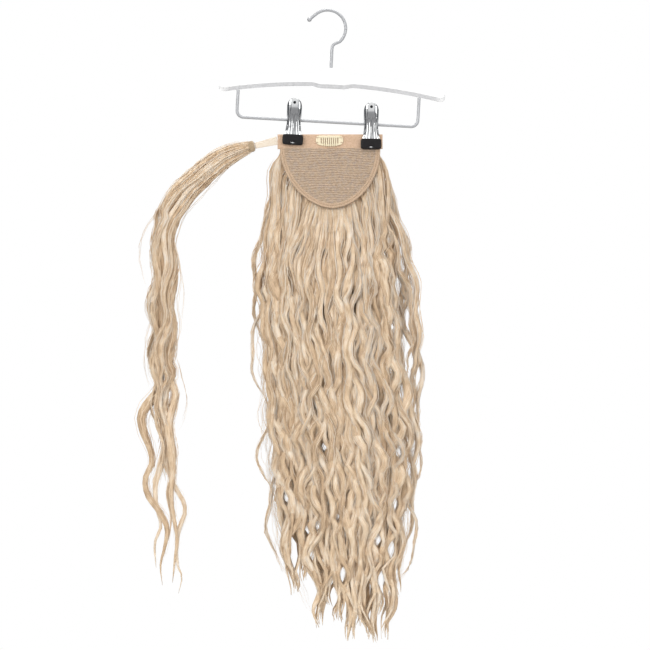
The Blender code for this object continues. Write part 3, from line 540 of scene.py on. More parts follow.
rubber, tree, shader = finish_of("black_dipped_rubber", "#120F10", 0.50, Specular_IOR_Level=0.25)
grain = add(tree, "ShaderNodeTexNoise", {"Vector": object_place(tree, (RUBBER_GRAIN,) * 3), "Detail": 3.0})
wear_and_painted_shade = add(tree, "ShaderNodeTexNoise", {"Vector": object_place(tree, (RUBBER_WEAR,) * 3), "Detail": 3.0})
stops = [(0.35, "#0C0A0B"), (0.65, "#1A1617")]
add(tree, "ShaderNodeValToRGB", {0: wear_and_painted_shade}, shader.inputs["Base Color"], stops)
add(tree, "ShaderNodeMapRange", {0: wear_and_painted_shade, 1: 0.3, 2: 0.7, 3: 0.36, 4: 0.60}, shader.inputs["Roughness"])
add(tree, "ShaderNodeBump", {"Height": grain, "Distance": 0.00006}, shader.inputs["Normal"])
for row in CLIPS:
    for face, facing in (("front", 1), ("back", -1)):
        name = f"clip_{row['side']}_{face}_pad"
        piece_of(name + "_boot", pad_mesh(name + "_boot", row, facing), rubber, [name])

# The jaw ends: the chrome tongue of each front jaw, which holds the boot on.
# It shows as a small bright oval in the boot's dimple.
JAW_END = [  # its sections: how far to the side, half height and half depth
    dict(x=-0.0019, high=0.0003, deep=0.0002),
    dict(x=-0.0010, high=0.0007, deep=0.0004),
    dict(x=0.0, high=0.0008, deep=0.0004),
    dict(x=0.0010, high=0.0007, deep=0.0004),
    dict(x=0.0019, high=0.0003, deep=0.0002),
]

for row in CLIPS:
    skin = new_skin()
    y, z = -(PAD_FRONT - DIMPLE["depth"] * 0.55), DIMPLE["lift"] - PAD_FOOT
    tongue = [clip_place(row, part["x"], y, z) for part in JAW_END]
    sizes = [(part["high"], part["deep"]) for part in JAW_END]
    loft_into(skin, rings_along(tongue, sizes, ring_profile(16)))
    name = f"clip_{row['side']}_jaw_end"
    piece_of(name, mesh_of(name, skin), chrome, ())

# The clip springs: a coil of bright spring wire round the rail, whose two legs press the jaws shut.
SPRING_WIRE = 0.0009
SPRING_RADIUS = 0.0031
SPRING_LENGTH = 0.0092
SPRING_TURNS = 9
LEG_REACH = 0.0050
DRAWING_LINES = (0.0015, 0.0004, 0.0004)  # fine lines that the die leaves, which dull the wire's shine

spring_steel, tree, shader = finish_of("drawn_spring_steel", "#8E9093", 0.30, 1.0)
drawn = add(tree, "ShaderNodeTexNoise", {"Vector": object_place(tree, DRAWING_LINES), "Detail": 2.0})
add(tree, "ShaderNodeValToRGB", {0: drawn}, shader.inputs["Base Color"], [(0.3, "#7C7E81"), (0.7, "#A3A5A8")])
for row in CLIPS:
    skin = new_skin()
    coil = []
    for k in range(SPRING_TURNS * 16 + 1):
        angle = 2 * math.pi * k / 16
        x = SPRING_LENGTH * (k / (SPRING_TURNS * 16) - 0.5)
        coil.append(clip_place(row, x, -SPRING_RADIUS * math.cos(angle), SPRING_RADIUS * math.sin(angle)))
    legs = [clip_place(row, side * SPRING_LENGTH / 2, -SPRING_RADIUS, -LEG_REACH) for side in (-1, 1)]
    axle = (clip_place(row, 1, 0, 0) - clip_place(row, 0, 0, 0)).normalized()
    wire_into(skin, [legs[0], *coil, legs[1]], SPRING_WIRE / 2, 8, axle)
    name = f"clip_{row['side']}_spring"
    piece_of(name + "_coil", mesh_of(name + "_coil", skin), spring_steel, [name])

# The top band: smooth polyester ribbon doubled over and sewn along its lower edge to the net.
# Its weave is fine and matt, and its edge slightly wavy, because the seam draws it in stitch by stitch.
BASE_X = 0.0028
BAND_HALF = 0.05775
BAND_TOP = -0.1350
BAND_FOOT = -0.1515
BAND_THICKNESS = 0.0016
EDGE_WAVE = 0.0004
RIBBON_YARN = 0.0006
STITCH_PITCH = 0.0024
THREAD = 0.00038  # drawn a little coarse, to show
THREAD_TWIST = 0.0004
SEAM_LIFT = 0.0014
SEAM_INSET = 0.001


def cloth_slab(skin, left, right, low_at, top_at, thickness, relief, columns, rows):
    """A doubled cloth between two edges: rounded at its rim, each face moved by its relief."""
    rings = []
    for c in range(columns + 1):
        x = left + (right - left) * c / columns
        low, top = low_at(x), top_at(x)
        ends = min(1.0, min(c, columns - c) / 2 * 0.55 + 0.35)
        ring = []
        for face in (-1, 1):
            for r in range(rows + 1):
                share = r / rows if face < 0 else 1 - r / rows
                z = low + (top - low) * share
                rim = math.sqrt(max(0.0, 1 - abs(2 * share - 1) ** 14))
                y = face * thickness / 2 * (0.25 + 0.75 * rim) * ends + relief(x, z)
                ring.append(Vector((x, y, z)))
        rings.append(ring)
    loft_into(skin, rings)


def ribbon_relief(x, z):
    """The ribbon's slow waviness, stronger along the seam at its lower edge."""
    low = math.exp(-(z - BAND_FOOT) / 0.004)
    return 0.00012 * math.sin(x * 130 + z * 90) + 0.00018 * low * math.sin(x * 520 + 1.3 * math.sin(x * 90))


def band_low(x):
    """Height of the band's lower edge, with its slight waves."""
    return BAND_FOOT + 0.0002 + EDGE_WAVE / 2 * (1 + math.sin(x * 410 + 2 * math.sin(x * 77)))


def woven(name, dark, middle, light, yarn, roughness, blotch=0.007, depth=0.00008, sheen=0.35):
    """A woven cloth: crossing yarns at their pitch, with slow changes of shade."""
    material, tree, shader = finish_of(name, middle, roughness, Sheen_Weight=sheen, Sheen_Roughness=0.4)
    place = object_place(tree, (yarn,) * 3)
    yarns = {"Vector": place, "Scale": 0.5, "Distortion": 0.6}
    warp = add(tree, "ShaderNodeTexWave", yarns, bands_direction="X").outputs["Fac"]
    weft = add(tree, "ShaderNodeTexWave", yarns, bands_direction="Z").outputs["Fac"]
    weave = add(tree, "ShaderNodeMath", {0: warp, 1: weft}, operation="MULTIPLY")
    shade = add(tree, "ShaderNodeTexNoise", {"Vector": object_place(tree, (blotch,) * 3), "Detail": 4.0})
    mixed = add(tree, "ShaderNodeMath", {0: weave, 1: 0.30}, operation="MULTIPLY")
    mixed = add(tree, "ShaderNodeMath", {0: mixed, 1: shade}, operation="ADD")
    stops = [(0.25, dark), (0.55, middle), (0.85, light)]
    add(tree, "ShaderNodeValToRGB", {0: mixed}, shader.inputs["Base Color"], stops)
    add(tree, "ShaderNodeBump", {"Height": weave, "Distance": depth}, shader.inputs["Normal"])
    return material


def spun_thread(name, dark, middle, light):
    """Spun polyester thread: dull and slightly hairy, its colour broken up by a fine noise."""
    material, tree, shader = finish_of(name, middle, 0.60, Sheen_Weight=0.3)
    place = object_place(tree, (THREAD_TWIST,) * 3)
    twist = add(tree, "ShaderNodeTexNoise", {"Vector": place, "Detail": 2.0})
    add(tree, "ShaderNodeValToRGB", {0: twist}, shader.inputs["Base Color"], [(0.3, dark), (0.7, light)])
    return material


def stitch_tree(material):
    """Stitches along a path: a short bar of thread at every pitch, turned to follow it."""
    tree = bpy.data.node_groups.new("machine_stitches", "GeometryNodeTree")
    sockets = tree.interface
    sockets.new_socket("Seam", in_out="INPUT", socket_type="NodeSocketGeometry")
    for name, value in (("Pitch", STITCH_PITCH), ("Length", STITCH_PITCH * 0.8), ("Thread", THREAD)):
        sockets.new_socket(name, in_out="INPUT", socket_type="NodeSocketFloat").default_value = value
    sockets.new_socket("Stitches", in_out="OUTPUT", socket_type="NodeSocketGeometry")
    given = add(tree, "NodeGroupInput").outputs
    seam = add(tree, "GeometryNodeMeshToCurve", {0: given["Seam"]})
    holes = add(tree, "GeometryNodeCurveToPoints", {0: seam, "Length": given["Pitch"]}, mode="LENGTH").outputs
    bead = add(tree, "GeometryNodeMeshUVSphere", {"Segments": 6, "Rings": 6, "Radius": 0.5})
    size = add(tree, "ShaderNodeCombineXYZ", {0: given["Thread"], 1: given["Thread"], 2: given["Length"]})
    turned = {"Points": holes["Points"], "Instance": bead, "Rotation": holes["Rotation"], "Scale": size}
    real = add(tree, "GeometryNodeRealizeInstances", {0: add(tree, "GeometryNodeInstanceOnPoints", turned)})
    smooth = add(tree, "GeometryNodeSetShadeSmooth", {0: real})
    coloured = add(tree, "GeometryNodeSetMaterial", {0: smooth, "Material": material})
    add(tree, "NodeGroupOutput", {0: coloured})
    return tree


def grown(name, paths, tree, inputs=None, values=None):
    """What the tree grows on the paths, as a plain mesh; values are attributes along the paths."""
    places, edges = [], []
    for path in paths:
        edges += [(len(places) + k, len(places) + k + 1) for k in range(len(path) - 1)]
        places += path
    mesh = bpy.data.meshes.new(name + "_paths")
    mesh.from_pydata(places, edges, [])
    for label, column in (values or {}).items():
        mesh.attributes.new(label, "FLOAT", "POINT").data.foreach_set("value", column)
    obj = loose(name, mesh)
    modifier = obj.modifiers.new("grow", "NODES")
    modifier.node_group = tree
    names = {item.name: item.identifier for item in tree.interface.items_tree if item.in_out == "INPUT"}
    for label, value in (inputs or {}).items():
        modifier[names[label]] = value
    result = evaluated(obj)
    result.name = name
    return result


ribbon = woven("smooth_polyester_ribbon", "#C3A081", "#D3B193", "#DFC0A4", RIBBON_YARN, 0.62)
skin = new_skin()
band_left, band_right = BASE_X - BAND_HALF, BASE_X + BAND_HALF
cloth_slab(skin, band_left, band_right, band_low, lambda x: BAND_TOP, BAND_THICKNESS, ribbon_relief, 150, 14)
band = piece_of("band_ribbon", mesh_of("band_ribbon", skin, None), ribbon, ["top_band"])

thread = spun_thread("spun_polyester_thread", "#C9AC8A", "#DCC3A4", "#E8D3B8")
stitches = stitch_tree(thread)
places = [band_left + SEAM_INSET + 2 * (BAND_HALF - SEAM_INSET) * k / 120 for k in range(121)]
seams = []
for face in (-1, 1):
    out = [face * (BAND_THICKNESS / 2) + ribbon_relief(x, BAND_FOOT + SEAM_LIFT) for x in places]
    seams.append([Vector((x, y, band_low(x) + SEAM_LIFT)) for x, y in zip(places, out)])
piece_of("band_stitches", grown("band_stitches", seams, stitches), None, ())

# The net cap: a half-round of soft knitted net, tan and mauve-grey yarns mixed, that the wefts are
# sewn through. Its courses run across it as fine ribs, pulled a little out of line by the sewing.
CAP_TOP = -0.1518
CAP_HALF_WIDTH = 0.0552
CAP_DEPTH = 0.0645
CAP_FULLNESS = 1.85
CAP_SKEW = 0.0026
TAPE_WIDTH = 0.0054
NET_THICKNESS = 0.0011
COURSE = 0.00185
COURSE_HEIGHT = 0.00022
NET_TUCK = 0.0016  # how far its upper edge reaches up inside the doubled band
NET_HEM = 0.0010  # how far its curved edge reaches in under the tape
NET_LOOP = (0.0016, 0.0016, 0.0005)
NET_YARN = (0.012, 0.01, 0.0012)  # how long a yarn keeps its shade along a course
NET_PATCH = 0.018
NET_CELL = (0.0009, 0.0009, 0.0006)


def boxed(value, power):
    """A sine or cosine pushed out towards a box, or in towards a lozenge where the power is over 1."""
    return math.copysign(abs(value) ** power, value)


def cap_edge(share, inset=0.0):
    """The cap's edge from the band's left end under the cap to its right end, drawn in by the inset."""
    turn = math.pi * min(max(share, 0.0), 1.0)
    across = -boxed(math.cos(turn), 2 / CAP_FULLNESS)
    down = max(math.sin(turn), 0.0) ** (2 / CAP_FULLNESS)
    half, depth = CAP_HALF_WIDTH - inset, CAP_DEPTH - inset
    return Vector((BASE_X + CAP_SKEW * down + half * across, 0, CAP_TOP - depth * down))


def cap_span(z, inset):
    """The cap's left and right edges at a height."""
    down = min(max((CAP_TOP - z) / (CAP_DEPTH - inset), 0.0), 1.0)
    across = max(1 - down ** CAP_FULLNESS, 0.0) ** (1 / CAP_FULLNESS)
    middle = BASE_X + CAP_SKEW * down
    return middle - (CAP_HALF_WIDTH - inset) * across, middle + (CAP_HALF_WIDTH - inset) * across


def net_course(x, z):
    """From -1 between the courses to 1 on their crests, with the sag that the sewing gives them."""
    sag = 0.0006 * math.sin(x * 60 + 0.8) + 0.0003 * math.sin(x * 171 + z * 210)
    return math.sin(2 * math.pi * (z + sag) / COURSE)


def net_relief(x, z):
    """The courses, over the net's slow pull towards the binding, flat where the band covers it."""
    slow = 0.0002 * math.sin(x * 95 + 1.7 * math.sin(z * 80)) * math.sin(z * 120)
    return (COURSE_HEIGHT * net_course(x, z) + slow) * min(1.0, max(0.0, (CAP_TOP - z) / 0.001))


def net_cloth():
    """Tan and mauve-grey yarns, with painted shade between the courses and painted highlight along their
    crests.
    """
    material, tree, shader = finish_of("heather_knitted_net", "#B7A189", 0.85, Sheen_Weight=0.3)
    loops = add(tree, "ShaderNodeTexNoise", {"Vector": object_place(tree, NET_LOOP), "Detail": 4.0})
    yarns = add(tree, "ShaderNodeTexNoise", {"Vector": object_place(tree, NET_YARN), "Detail": 3.0})
    patch = add(tree, "ShaderNodeTexNoise", {"Vector": object_place(tree, (NET_PATCH,) * 3), "Detail": 2.0})
    course = add(tree, "ShaderNodeAttribute", attribute_name="course").outputs["Fac"]
    mix = add(tree, "ShaderNodeMath", {0: loops, 1: yarns}, operation="ADD")
    # Painted shade and highlight: the course wave darkens the colour in the grooves and lightens it on the
    # crests.
    mix = add(tree, "ShaderNodeMath", {0: course, 1: 0.16, 2: mix}, operation="MULTIPLY_ADD")
    shade = add(tree, "ShaderNodeMath", {0: mix, 1: 0.5}, operation="MULTIPLY")
    stops = [(0.40, "#8A725A"), (0.48, "#B2987E"), (0.54, "#C9AF94"), (0.62, "#E2CCB2")]
    tan = add(tree, "ShaderNodeValToRGB", {0: shade}, stops=stops)
    stops = [(0.40, "#88786C"), (0.50, "#AF9C8E"), (0.62, "#D0C0B1")]
    mauve = add(tree, "ShaderNodeValToRGB", {0: shade}, stops=stops)
    share = add(tree, "ShaderNodeMapRange", {0: patch, 1: 0.42, 2: 0.66, 3: 0.0, 4: 0.75})
    both = add(tree, "ShaderNodeMix", {0: share, 6: tan, 7: mauve}, data_type="RGBA")
    tree.links.new(both.outputs[2], shader.inputs["Base Color"])
    cells = add(tree, "ShaderNodeTexVoronoi", {"Vector": object_place(tree, NET_CELL)})
    add(tree, "ShaderNodeBump", {"Height": cells, "Distance": 0.00014}, shader.inputs["Normal"])
    return material


skin = new_skin()
rings = []
foot = CAP_TOP - (CAP_DEPTH - TAPE_WIDTH + NET_HEM)
for r in range(171):
    z = CAP_TOP + NET_TUCK + (foot - CAP_TOP - NET_TUCK) * r / 170
    left, right = cap_span(min(z, CAP_TOP), TAPE_WIDTH - NET_HEM)
    ring = []
    for face in (-1, 1):
        for c in range(41):
            share = c / 40 if face < 0 else 1 - c / 40
            x = left + (right - left) * share
            ring.append(Vector((x, face * NET_THICKNESS / 2 + net_relief(x, z), z)))
    rings.append(ring)
loft_into(skin, rings)
mesh = mesh_of("net_cloth", skin)
courses = [net_course(vertex.co.x, vertex.co.z) for vertex in mesh.vertices]
mesh.attributes.new("course", "FLOAT", "POINT").data.foreach_set("value", courses)
net = piece_of("net_cloth", mesh, net_cloth(), ["net_cap"])

# The binding: a bias tape folded over the net's edge and sewn through along its middle.
# It takes the curve in small gathers, most of them where it turns at the lower right.
TAPE_THICKNESS = 0.0026
TAPE_STEP = 0.0007
TAPE_END = 0.00140  # thickness of its flattened ends, which run up inside the band
GATHER = 0.0030
GATHERED_MOST = dict(share=0.72, spread=0.10)  # along the curve from its left end
TAPE_LEAF = [  # the section of its front leaf, across the tape and out, with the crease that the seam makes
    (1.0, 0.74), (0.86, 0.95), (0.62, 1.0), (0.36, 0.88), (0.18, 0.56), (0.08, 0.42), (-0.02, 0.56),
    (-0.22, 0.92), (-0.52, 1.0), (-0.80, 0.86), (-0.95, 0.45),
]
TAPE_SLOT = [(1.0, 0.46), (-0.60, 0.42), (-0.72, 0.20)]  # the space between its leaves that holds the net
LOOSE_THREAD = [(0.0420, -0.0013, -0.1860), (0.0405, -0.0022, -0.1885), (0.0372, -0.0026, -0.1872),
                (0.0362, -0.0021, -0.1901)]

tape_cloth = woven("folded_bias_tape", "#A4866A", "#CDAF91", "#E8D2B8", yarn=0.0007, roughness=0.80,
                   blotch=0.0035, depth=0.00014)
path = rounded_path([cap_edge(k / 100, TAPE_WIDTH / 2) for k in range(101)], TAPE_STEP)
tuck = [Vector((0, 0, 0.0013)), Vector((0, 0, 0.0006))]  # its ends run up inside the band
path = [path[0] + up for up in tuck] + path + [path[-1] + up for up in tuck[::-1]]
sizes = []
for k in range(len(path)):
    gather = math.sin(2 * math.pi * k * TAPE_STEP / GATHER + 2 * math.sin(k * 0.05))
    near = (k / len(path) - GATHERED_MOST["share"]) / GATHERED_MOST["spread"]
    gather *= 0.40 + 0.90 * math.exp(-near ** 2)
    sizes.append((TAPE_WIDTH / 2 * (1 + 0.08 * gather), TAPE_THICKNESS / 2 * (1 + 0.26 * gather)))
for k in (0, 1, -2, -1):
    sizes[k] = (TAPE_WIDTH / 2, TAPE_END / 2)
section = [(a, -b) for a, b in TAPE_LEAF] + [(-1.0, 0.0)] + TAPE_LEAF[::-1]
section += TAPE_SLOT + [(a, -b) for a, b in TAPE_SLOT[::-1]]
skin = new_skin()
loft_into(skin, rings_along(path, sizes, section))
tape = piece_of("binding_tape", mesh_of("binding_tape", skin, None), tape_cloth, ["edge_binding"])
seams = [[p + Y * (face * TAPE_THICKNESS * 0.26) for p in path[6:-6]] for face in (-1, 1)]
# Painted shadow: this thread is coloured darker than tan, for the shade that the stitches sit in; the loose
# thread shares it.
tan_thread_painted_dark = spun_thread("tan_thread_painted_dark_as_shadow", "#86694D", "#A98B6A", "#B09170")
sewing = {"Pitch": 0.0020, "Length": 0.0015, "Thread": 0.00050}
sewn = grown("binding_stitches", seams, stitch_tree(tan_thread_painted_dark), sewing)
piece_of("binding_stitches", sewn, None, ())
skin = new_skin()
wire_into(skin, rounded_path([Vector(place) for place in LOOSE_THREAD], 0.0006), 0.00018, 6)
piece_of("binding_loose_thread", mesh_of("binding_loose_thread", skin), tan_thread_painted_dark, ())

# The snap comb: two stampings of spring steel in cream enamel. The frame is sewn to the band through
# the holes in its round ends; the toothed bar snaps down over its window and holds the wearer's hair.
COMB_X = 0.0022
COMB_TOP = -0.1363
COMB_HALF_WIDTH = 0.0151
COMB_HEIGHT = 0.0104
COMB_BOW = 0.0014
COMB_SHEET = 0.0008
COMB_RAIL = 0.0023
COMB_TOP_RAIL = 0.0016
COMB_LOBE = 0.0056
COMB_CORNER = 0.0030
SEWING_HOLE = dict(radius=0.0006, inset=0.0023, lift=0.0026)
COMB_THREAD = 0.00016
ENAMEL_FLOW = 0.003
BAR_INSET = 0.0032
BAR_HEIGHT = 0.0022
TOOTH_COUNT = 8
TOOTH_PITCH = 0.00225
TOOTH_WIDTH = 0.0015
TOOTH_LENGTH = 0.0108
FRAME_FACE = -0.0019
TEETH_FACE = -0.0030


def comb_bow(x):
    """How far the frame's lower rail bows down at a distance from its middle."""
    return COMB_BOW * (1 - min(abs(x) / (COMB_HALF_WIDTH - COMB_CORNER), 1.0) ** 2)


def stamped(name, outlines, thickness, face, rounding=0.0002):
    """A flat stamping with soft edges, cut to the first outline, with the others as its holes."""
    curve = bpy.data.curves.new(name, "CURVE")
    curve.dimensions = "2D"
    curve.fill_mode = "BOTH"
    curve.extrude = thickness / 2 - rounding
    curve.bevel_depth = rounding
    curve.bevel_resolution = 2
    curve.offset = -rounding
    for outline in outlines:
        spline = curve.splines.new("POLY")
        spline.points.add(len(outline) - 1)
        spline.use_cyclic_u = True
        for point, (x, z) in zip(spline.points, outline):
            point.co = (x, z, 0.0, 1.0)
    mesh = evaluated(loose(name, curve))
    for vertex in mesh.vertices:
        vertex.co = Vector((vertex.co.x, face + thickness / 2 - vertex.co.z, vertex.co.y))
    shape = bmesh.new()
    shape.from_mesh(mesh)
    bmesh.ops.remove_doubles(shape, verts=shape.verts, dist=1e-6)
    bmesh.ops.recalc_face_normals(shape, faces=shape.faces)
    shape.to_mesh(mesh)
    shape.free()
    mesh.shade_smooth()
    mesh.set_sharp_from_angle(angle=math.radians(35))
    return mesh


def comb_end(side):
    """The rounded end of the frame, upwards on the right and downwards on the left."""
    centre = COMB_X + side * (COMB_HALF_WIDTH - COMB_CORNER)
    angles = [side * math.radians(-70 + 14 * k) for k in range(11)]
    swell = COMB_HEIGHT / 2 - 0.0004
    return [(centre + side * COMB_CORNER * math.cos(a), COMB_TOP - COMB_HEIGHT / 2 + swell * math.sin(a))
            for a in angles]


# Enamel baked over steel: a warm cream gloss that pooled a little as it flowed.
enamel, tree, shader = finish_of("cream_enamelled_steel", "#EFE1BE", 0.26,
                                 Coat_Weight=0.5, Coat_Roughness=0.12)
flow = add(tree, "ShaderNodeTexNoise", {"Vector": object_place(tree, (ENAMEL_FLOW,) * 3), "Detail": 3.0})
stops = [(0.3, "#E6D5AC"), (0.5, "#F0E3C2"), (0.75, "#F7EFD8")]
add(tree, "ShaderNodeValToRGB", {0: flow}, shader.inputs["Base Color"], stops)
add(tree, "ShaderNodeBump", {"Height": flow, "Distance": 0.00008}, shader.inputs["Normal"])
foot = COMB_TOP - COMB_HEIGHT
body, reach = COMB_HALF_WIDTH - COMB_CORNER, COMB_HALF_WIDTH - COMB_LOBE
shares = [k / 12 for k in range(-12, 13)]
outer = [(COMB_X + s * body, foot - comb_bow(s * body)) for s in shares] + comb_end(1) + comb_end(-1)
window = [(COMB_X + s * reach, foot + COMB_RAIL - comb_bow(s * reach)) for s in shares]
window += [(COMB_X + side * reach, COMB_TOP - COMB_TOP_RAIL) for side in (1, -1)]
holes = []
knots = []
for side in (-1, 1):
    for end in (-1, 1):
        x = COMB_X + side * (COMB_HALF_WIDTH - SEWING_HOLE["inset"])
        z = COMB_TOP - COMB_HEIGHT / 2 + end * SEWING_HOLE["lift"]
        holes.append([(x + SEWING_HOLE["radius"] * math.cos(a), z + SEWING_HOLE["radius"] * math.sin(a))
                      for a in (math.pi * k / 8 for k in range(16))])
        knots.append((x, z, side))
frame_mesh = stamped("comb_frame_stamping", [outer, window, *holes], COMB_SHEET, FRAME_FACE)
piece_of("comb_frame_stamping", frame_mesh, enamel, ["comb_frame"])

half = COMB_HALF_WIDTH - BAR_INSET
bar_top = COMB_TOP - 0.0002
bar_foot = bar_top - BAR_HEIGHT
outline = [(COMB_X - half, bar_top), (COMB_X - half, bar_foot)]
first = -TOOTH_PITCH * (TOOTH_COUNT - 1) / 2
for k in range(TOOTH_COUNT):
    x = first + k * TOOTH_PITCH
    tip = bar_top - TOOTH_LENGTH - comb_bow(x)
    point = [(math.cos(a), math.sin(a)) for a in (math.pi * (1 + n / 6) for n in range(7))]
    outline.append((COMB_X + x - TOOTH_WIDTH / 2, bar_foot - 0.0002))
    outline += [(COMB_X + x + TOOTH_WIDTH / 2 * a, tip + TOOTH_WIDTH / 2 * (1 + b)) for a, b in point]
    outline.append((COMB_X + x + TOOTH_WIDTH / 2, bar_foot - 0.0002))
outline += [(COMB_X + half, bar_foot), (COMB_X + half, bar_top)]
teeth = stamped("comb_teeth_stamping", [outline], COMB_SHEET, TEETH_FACE, 0.00018)
piece_of("comb_teeth_stamping", teeth, enamel, ["comb_teeth"], body="comb")

skin = new_skin()
for x, z, side in knots:
    for turn in (-1, 0, 1):  # three turns of thread from each hole over the frame's edge
        end = Vector((x + side * 0.0030, -0.0007, z + 0.0004 * turn))
        over = Vector((x + side * 0.0013, FRAME_FACE - 0.0003, z + 0.0003 * turn))
        hole = Vector((x, FRAME_FACE + 0.0001, z + 0.0002 * turn))
        path = rounded_path([end, over, hole, hole + Y * 0.0009], 0.0004)
        wire_into(skin, path, COMB_THREAD, 6, Vector((0, 0, 1)))
piece_of("comb_sewing", mesh_of("comb_sewing", skin), thread, ())

# The strap: a short length of pale satin ribbon from the band's left corner to the wrap lock.
# It is doubled and pressed flat, with a shallow crease along its middle, and shines softly.
STRAP_START = Vector((-0.0552, 0, -0.1418))
STRAP_END = Vector((-0.0798, 0, -0.1475))
STRAP_HALF = 0.0038
STRAP_TAPER = dict(start=1.28, drawn_in=0.40)  # it is widest at the band and gathered into the collar
STRAP_CREASE = dict(depth=0.4, across=-0.1, half=0.2)
STRAP_THICKNESS = 0.0012
STRAP_SLOPE = math.radians(13)

satin = woven("pale_satin_ribbon", "#D9C3A6", "#E8D9C4", "#F2E9DB", yarn=0.0005, roughness=0.42,
              blotch=0.004, depth=0.00005, sheen=0.5)
skin = new_skin()
path = [STRAP_START.lerp(STRAP_END, k / 40) for k in range(41)]
wide = [STRAP_TAPER["start"] - STRAP_TAPER["drawn_in"] * (k / 40) ** 0.7 for k in range(41)]
sizes = [(STRAP_HALF * share, STRAP_THICKNESS / 2) for share in wide]
section = []
for k in range(24):
    a = 2 * math.pi * k / 24
    across = boxed(math.cos(a), 0.5)
    from_crease = (across - STRAP_CREASE["across"]) / STRAP_CREASE["half"]
    crease = STRAP_CREASE["depth"] * math.exp(-from_crease ** 2)
    section.append((across, boxed(math.sin(a), 0.5) * (1 - crease)))
loft_into(skin, rings_along(path, sizes, section))
strap = piece_of("strap_ribbon", mesh_of("strap_ribbon", skin, None), satin, ["wrap_strap"])

# The collar: a strip of weft rolled round the head of the wrap lock and stitched to the strap.
# Its threads show as fine ribs round it, darker than the hair.
COLLAR_LENGTH = 0.0068
COLLAR_DEPTH = 0.0084
COLLAR_HEIGHT = 0.0146
COLLAR_TIGHT = 0.84  # size of the sewn roll against the loose one
COLLAR_RIB = dict(height=0.035, steps=6.7)
STRAP_WAY = Vector((-math.cos(STRAP_SLOPE), 0, -math.sin(STRAP_SLOPE)))

weft_cloth = woven("stitched_hair_weft", "#8E785C", "#B29B7C", "#CDB899", yarn=0.0008, roughness=0.70,
                   blotch=0.004, depth=0.00015)
skin = new_skin()
path = [STRAP_END + STRAP_WAY * (0.0003 + COLLAR_LENGTH * k / 40) for k in range(41)]
sizes = []
for k in range(41):
    shoulder = min(1.0, k / 16)
    rib = 1 + COLLAR_RIB["height"] * math.sin(2 * math.pi * k / COLLAR_RIB["steps"])
    size = (0.50 + 0.50 * math.sqrt(1 - (1 - shoulder) ** 2)) * rib * (1 - 0.10 * max(0.0, (k - 34) / 6))
    sizes.append((COLLAR_HEIGHT / 2 * size * COLLAR_TIGHT, COLLAR_DEPTH / 2 * size * COLLAR_TIGHT))
turns = [2 * math.pi * k / 32 for k in range(32)]
section = [(boxed(math.cos(a), 0.75), boxed(math.sin(a), 0.8)) for a in turns]
loft_into(skin, rings_along(path, sizes, section))
piece_of("collar_weft", mesh_of("collar_weft", skin, None), weft_cloth, ["wrap_collar"])

# The wefts: the hair is machine sewn at its roots into thin strips, and the strips are sewn in rows
# to the back of the band and the net. Only their stitched heads show, between the clips.
WEFTS = [  # height of each row, and how far it reaches to each side
    dict(z=-0.1392, left=-0.0215, right=0.0318),
    dict(z=-0.1560, left=-0.0470, right=0.0520),
    dict(z=-0.1720, left=-0.0430, right=0.0495),
    dict(z=-0.1880, left=-0.0340, right=0.0420),
]
WEFT_HALF = 0.0013
WEFT_DEEP = 0.0006
WEFT_LIFT = 0.0010  # from the cloth's back to the weft's middle
WEFT_STEP = 0.002

skin = new_skin()
seams = []
for k, row in enumerate(WEFTS):
    y = (BAND_THICKNESS if k == 0 else NET_THICKNESS) / 2 + WEFT_LIFT
    width = row["right"] - row["left"]
    count = round(width / WEFT_STEP)
    path = [Vector((row["left"] + width * n / count, y, row["z"] + 0.0003 * math.sin(n * 0.7)))
            for n in range(count + 1)]
    loft_into(skin, rings_along(path, [(WEFT_HALF, WEFT_DEEP)] * len(path), ring_profile(10)))
    seams.append([p + Y * 0.0005 for p in path[1:-1]])
piece_of("weft_rows", mesh_of("weft_rows", skin, None), weft_cloth, ())
sewn = grown("weft_stitches", seams, stitches, {"Pitch": 0.0018, "Length": 0.0015})
piece_of("weft_stitches", sewn, None, ())

# The fall of hair: long waved fibre in locks, pale beige over golden beige and taupe. Each lock is a
# flattened body with its fibres laid over it, pinched and swollen along its length, fine at its tip.
FALL_ROWS = [  # the dense hair's outline at several heights, from the front and from the side
    dict(z=-0.1490, left=-0.0530, right=0.0560, front=0.0016, back=0.0070),
    dict(z=-0.1535, left=-0.0570, right=0.0590, front=0.0016, back=0.0085),
    dict(z=-0.1632, left=-0.0600, right=0.0620, front=0.0016, back=0.0120),
    dict(z=-0.1800, left=-0.0620, right=0.0655, front=0.0012, back=0.0180),
    dict(z=-0.2072, left=-0.0640, right=0.0690, front=0.0005, back=0.0240),
    dict(z=-0.2512, left=-0.0700, right=0.0740, front=-0.0048, back=0.0279),
    dict(z=-0.2952, left=-0.0770, right=0.0775, front=-0.0100, back=0.0311),
    dict(z=-0.3392, left=-0.0740, right=0.0800, front=-0.0128, back=0.0324),
    dict(z=-0.3832, left=-0.0700, right=0.0820, front=-0.0136, back=0.0324),
    dict(z=-0.4272, left=-0.0700, right=0.0860, front=-0.0136, back=0.0315),
    dict(z=-0.4712, left=-0.0680, right=0.0900, front=-0.0132, back=0.0302),
    dict(z=-0.5152, left=-0.0620, right=0.0900, front=-0.0116, back=0.0270),
    dict(z=-0.5592, left=-0.0560, right=0.0860, front=-0.0096, back=0.0234),
    dict(z=-0.6032, left=-0.0490, right=0.0790, front=-0.0072, back=0.0189),
    dict(z=-0.6362, left=-0.0400, right=0.0740, front=-0.0048, back=0.0153),
    dict(z=-0.6582, left=-0.0240, right=0.0690, front=-0.0032, back=0.0135),
    dict(z=-0.6860, left=-0.0080, right=0.0660, front=-0.0016, back=0.0117),
]
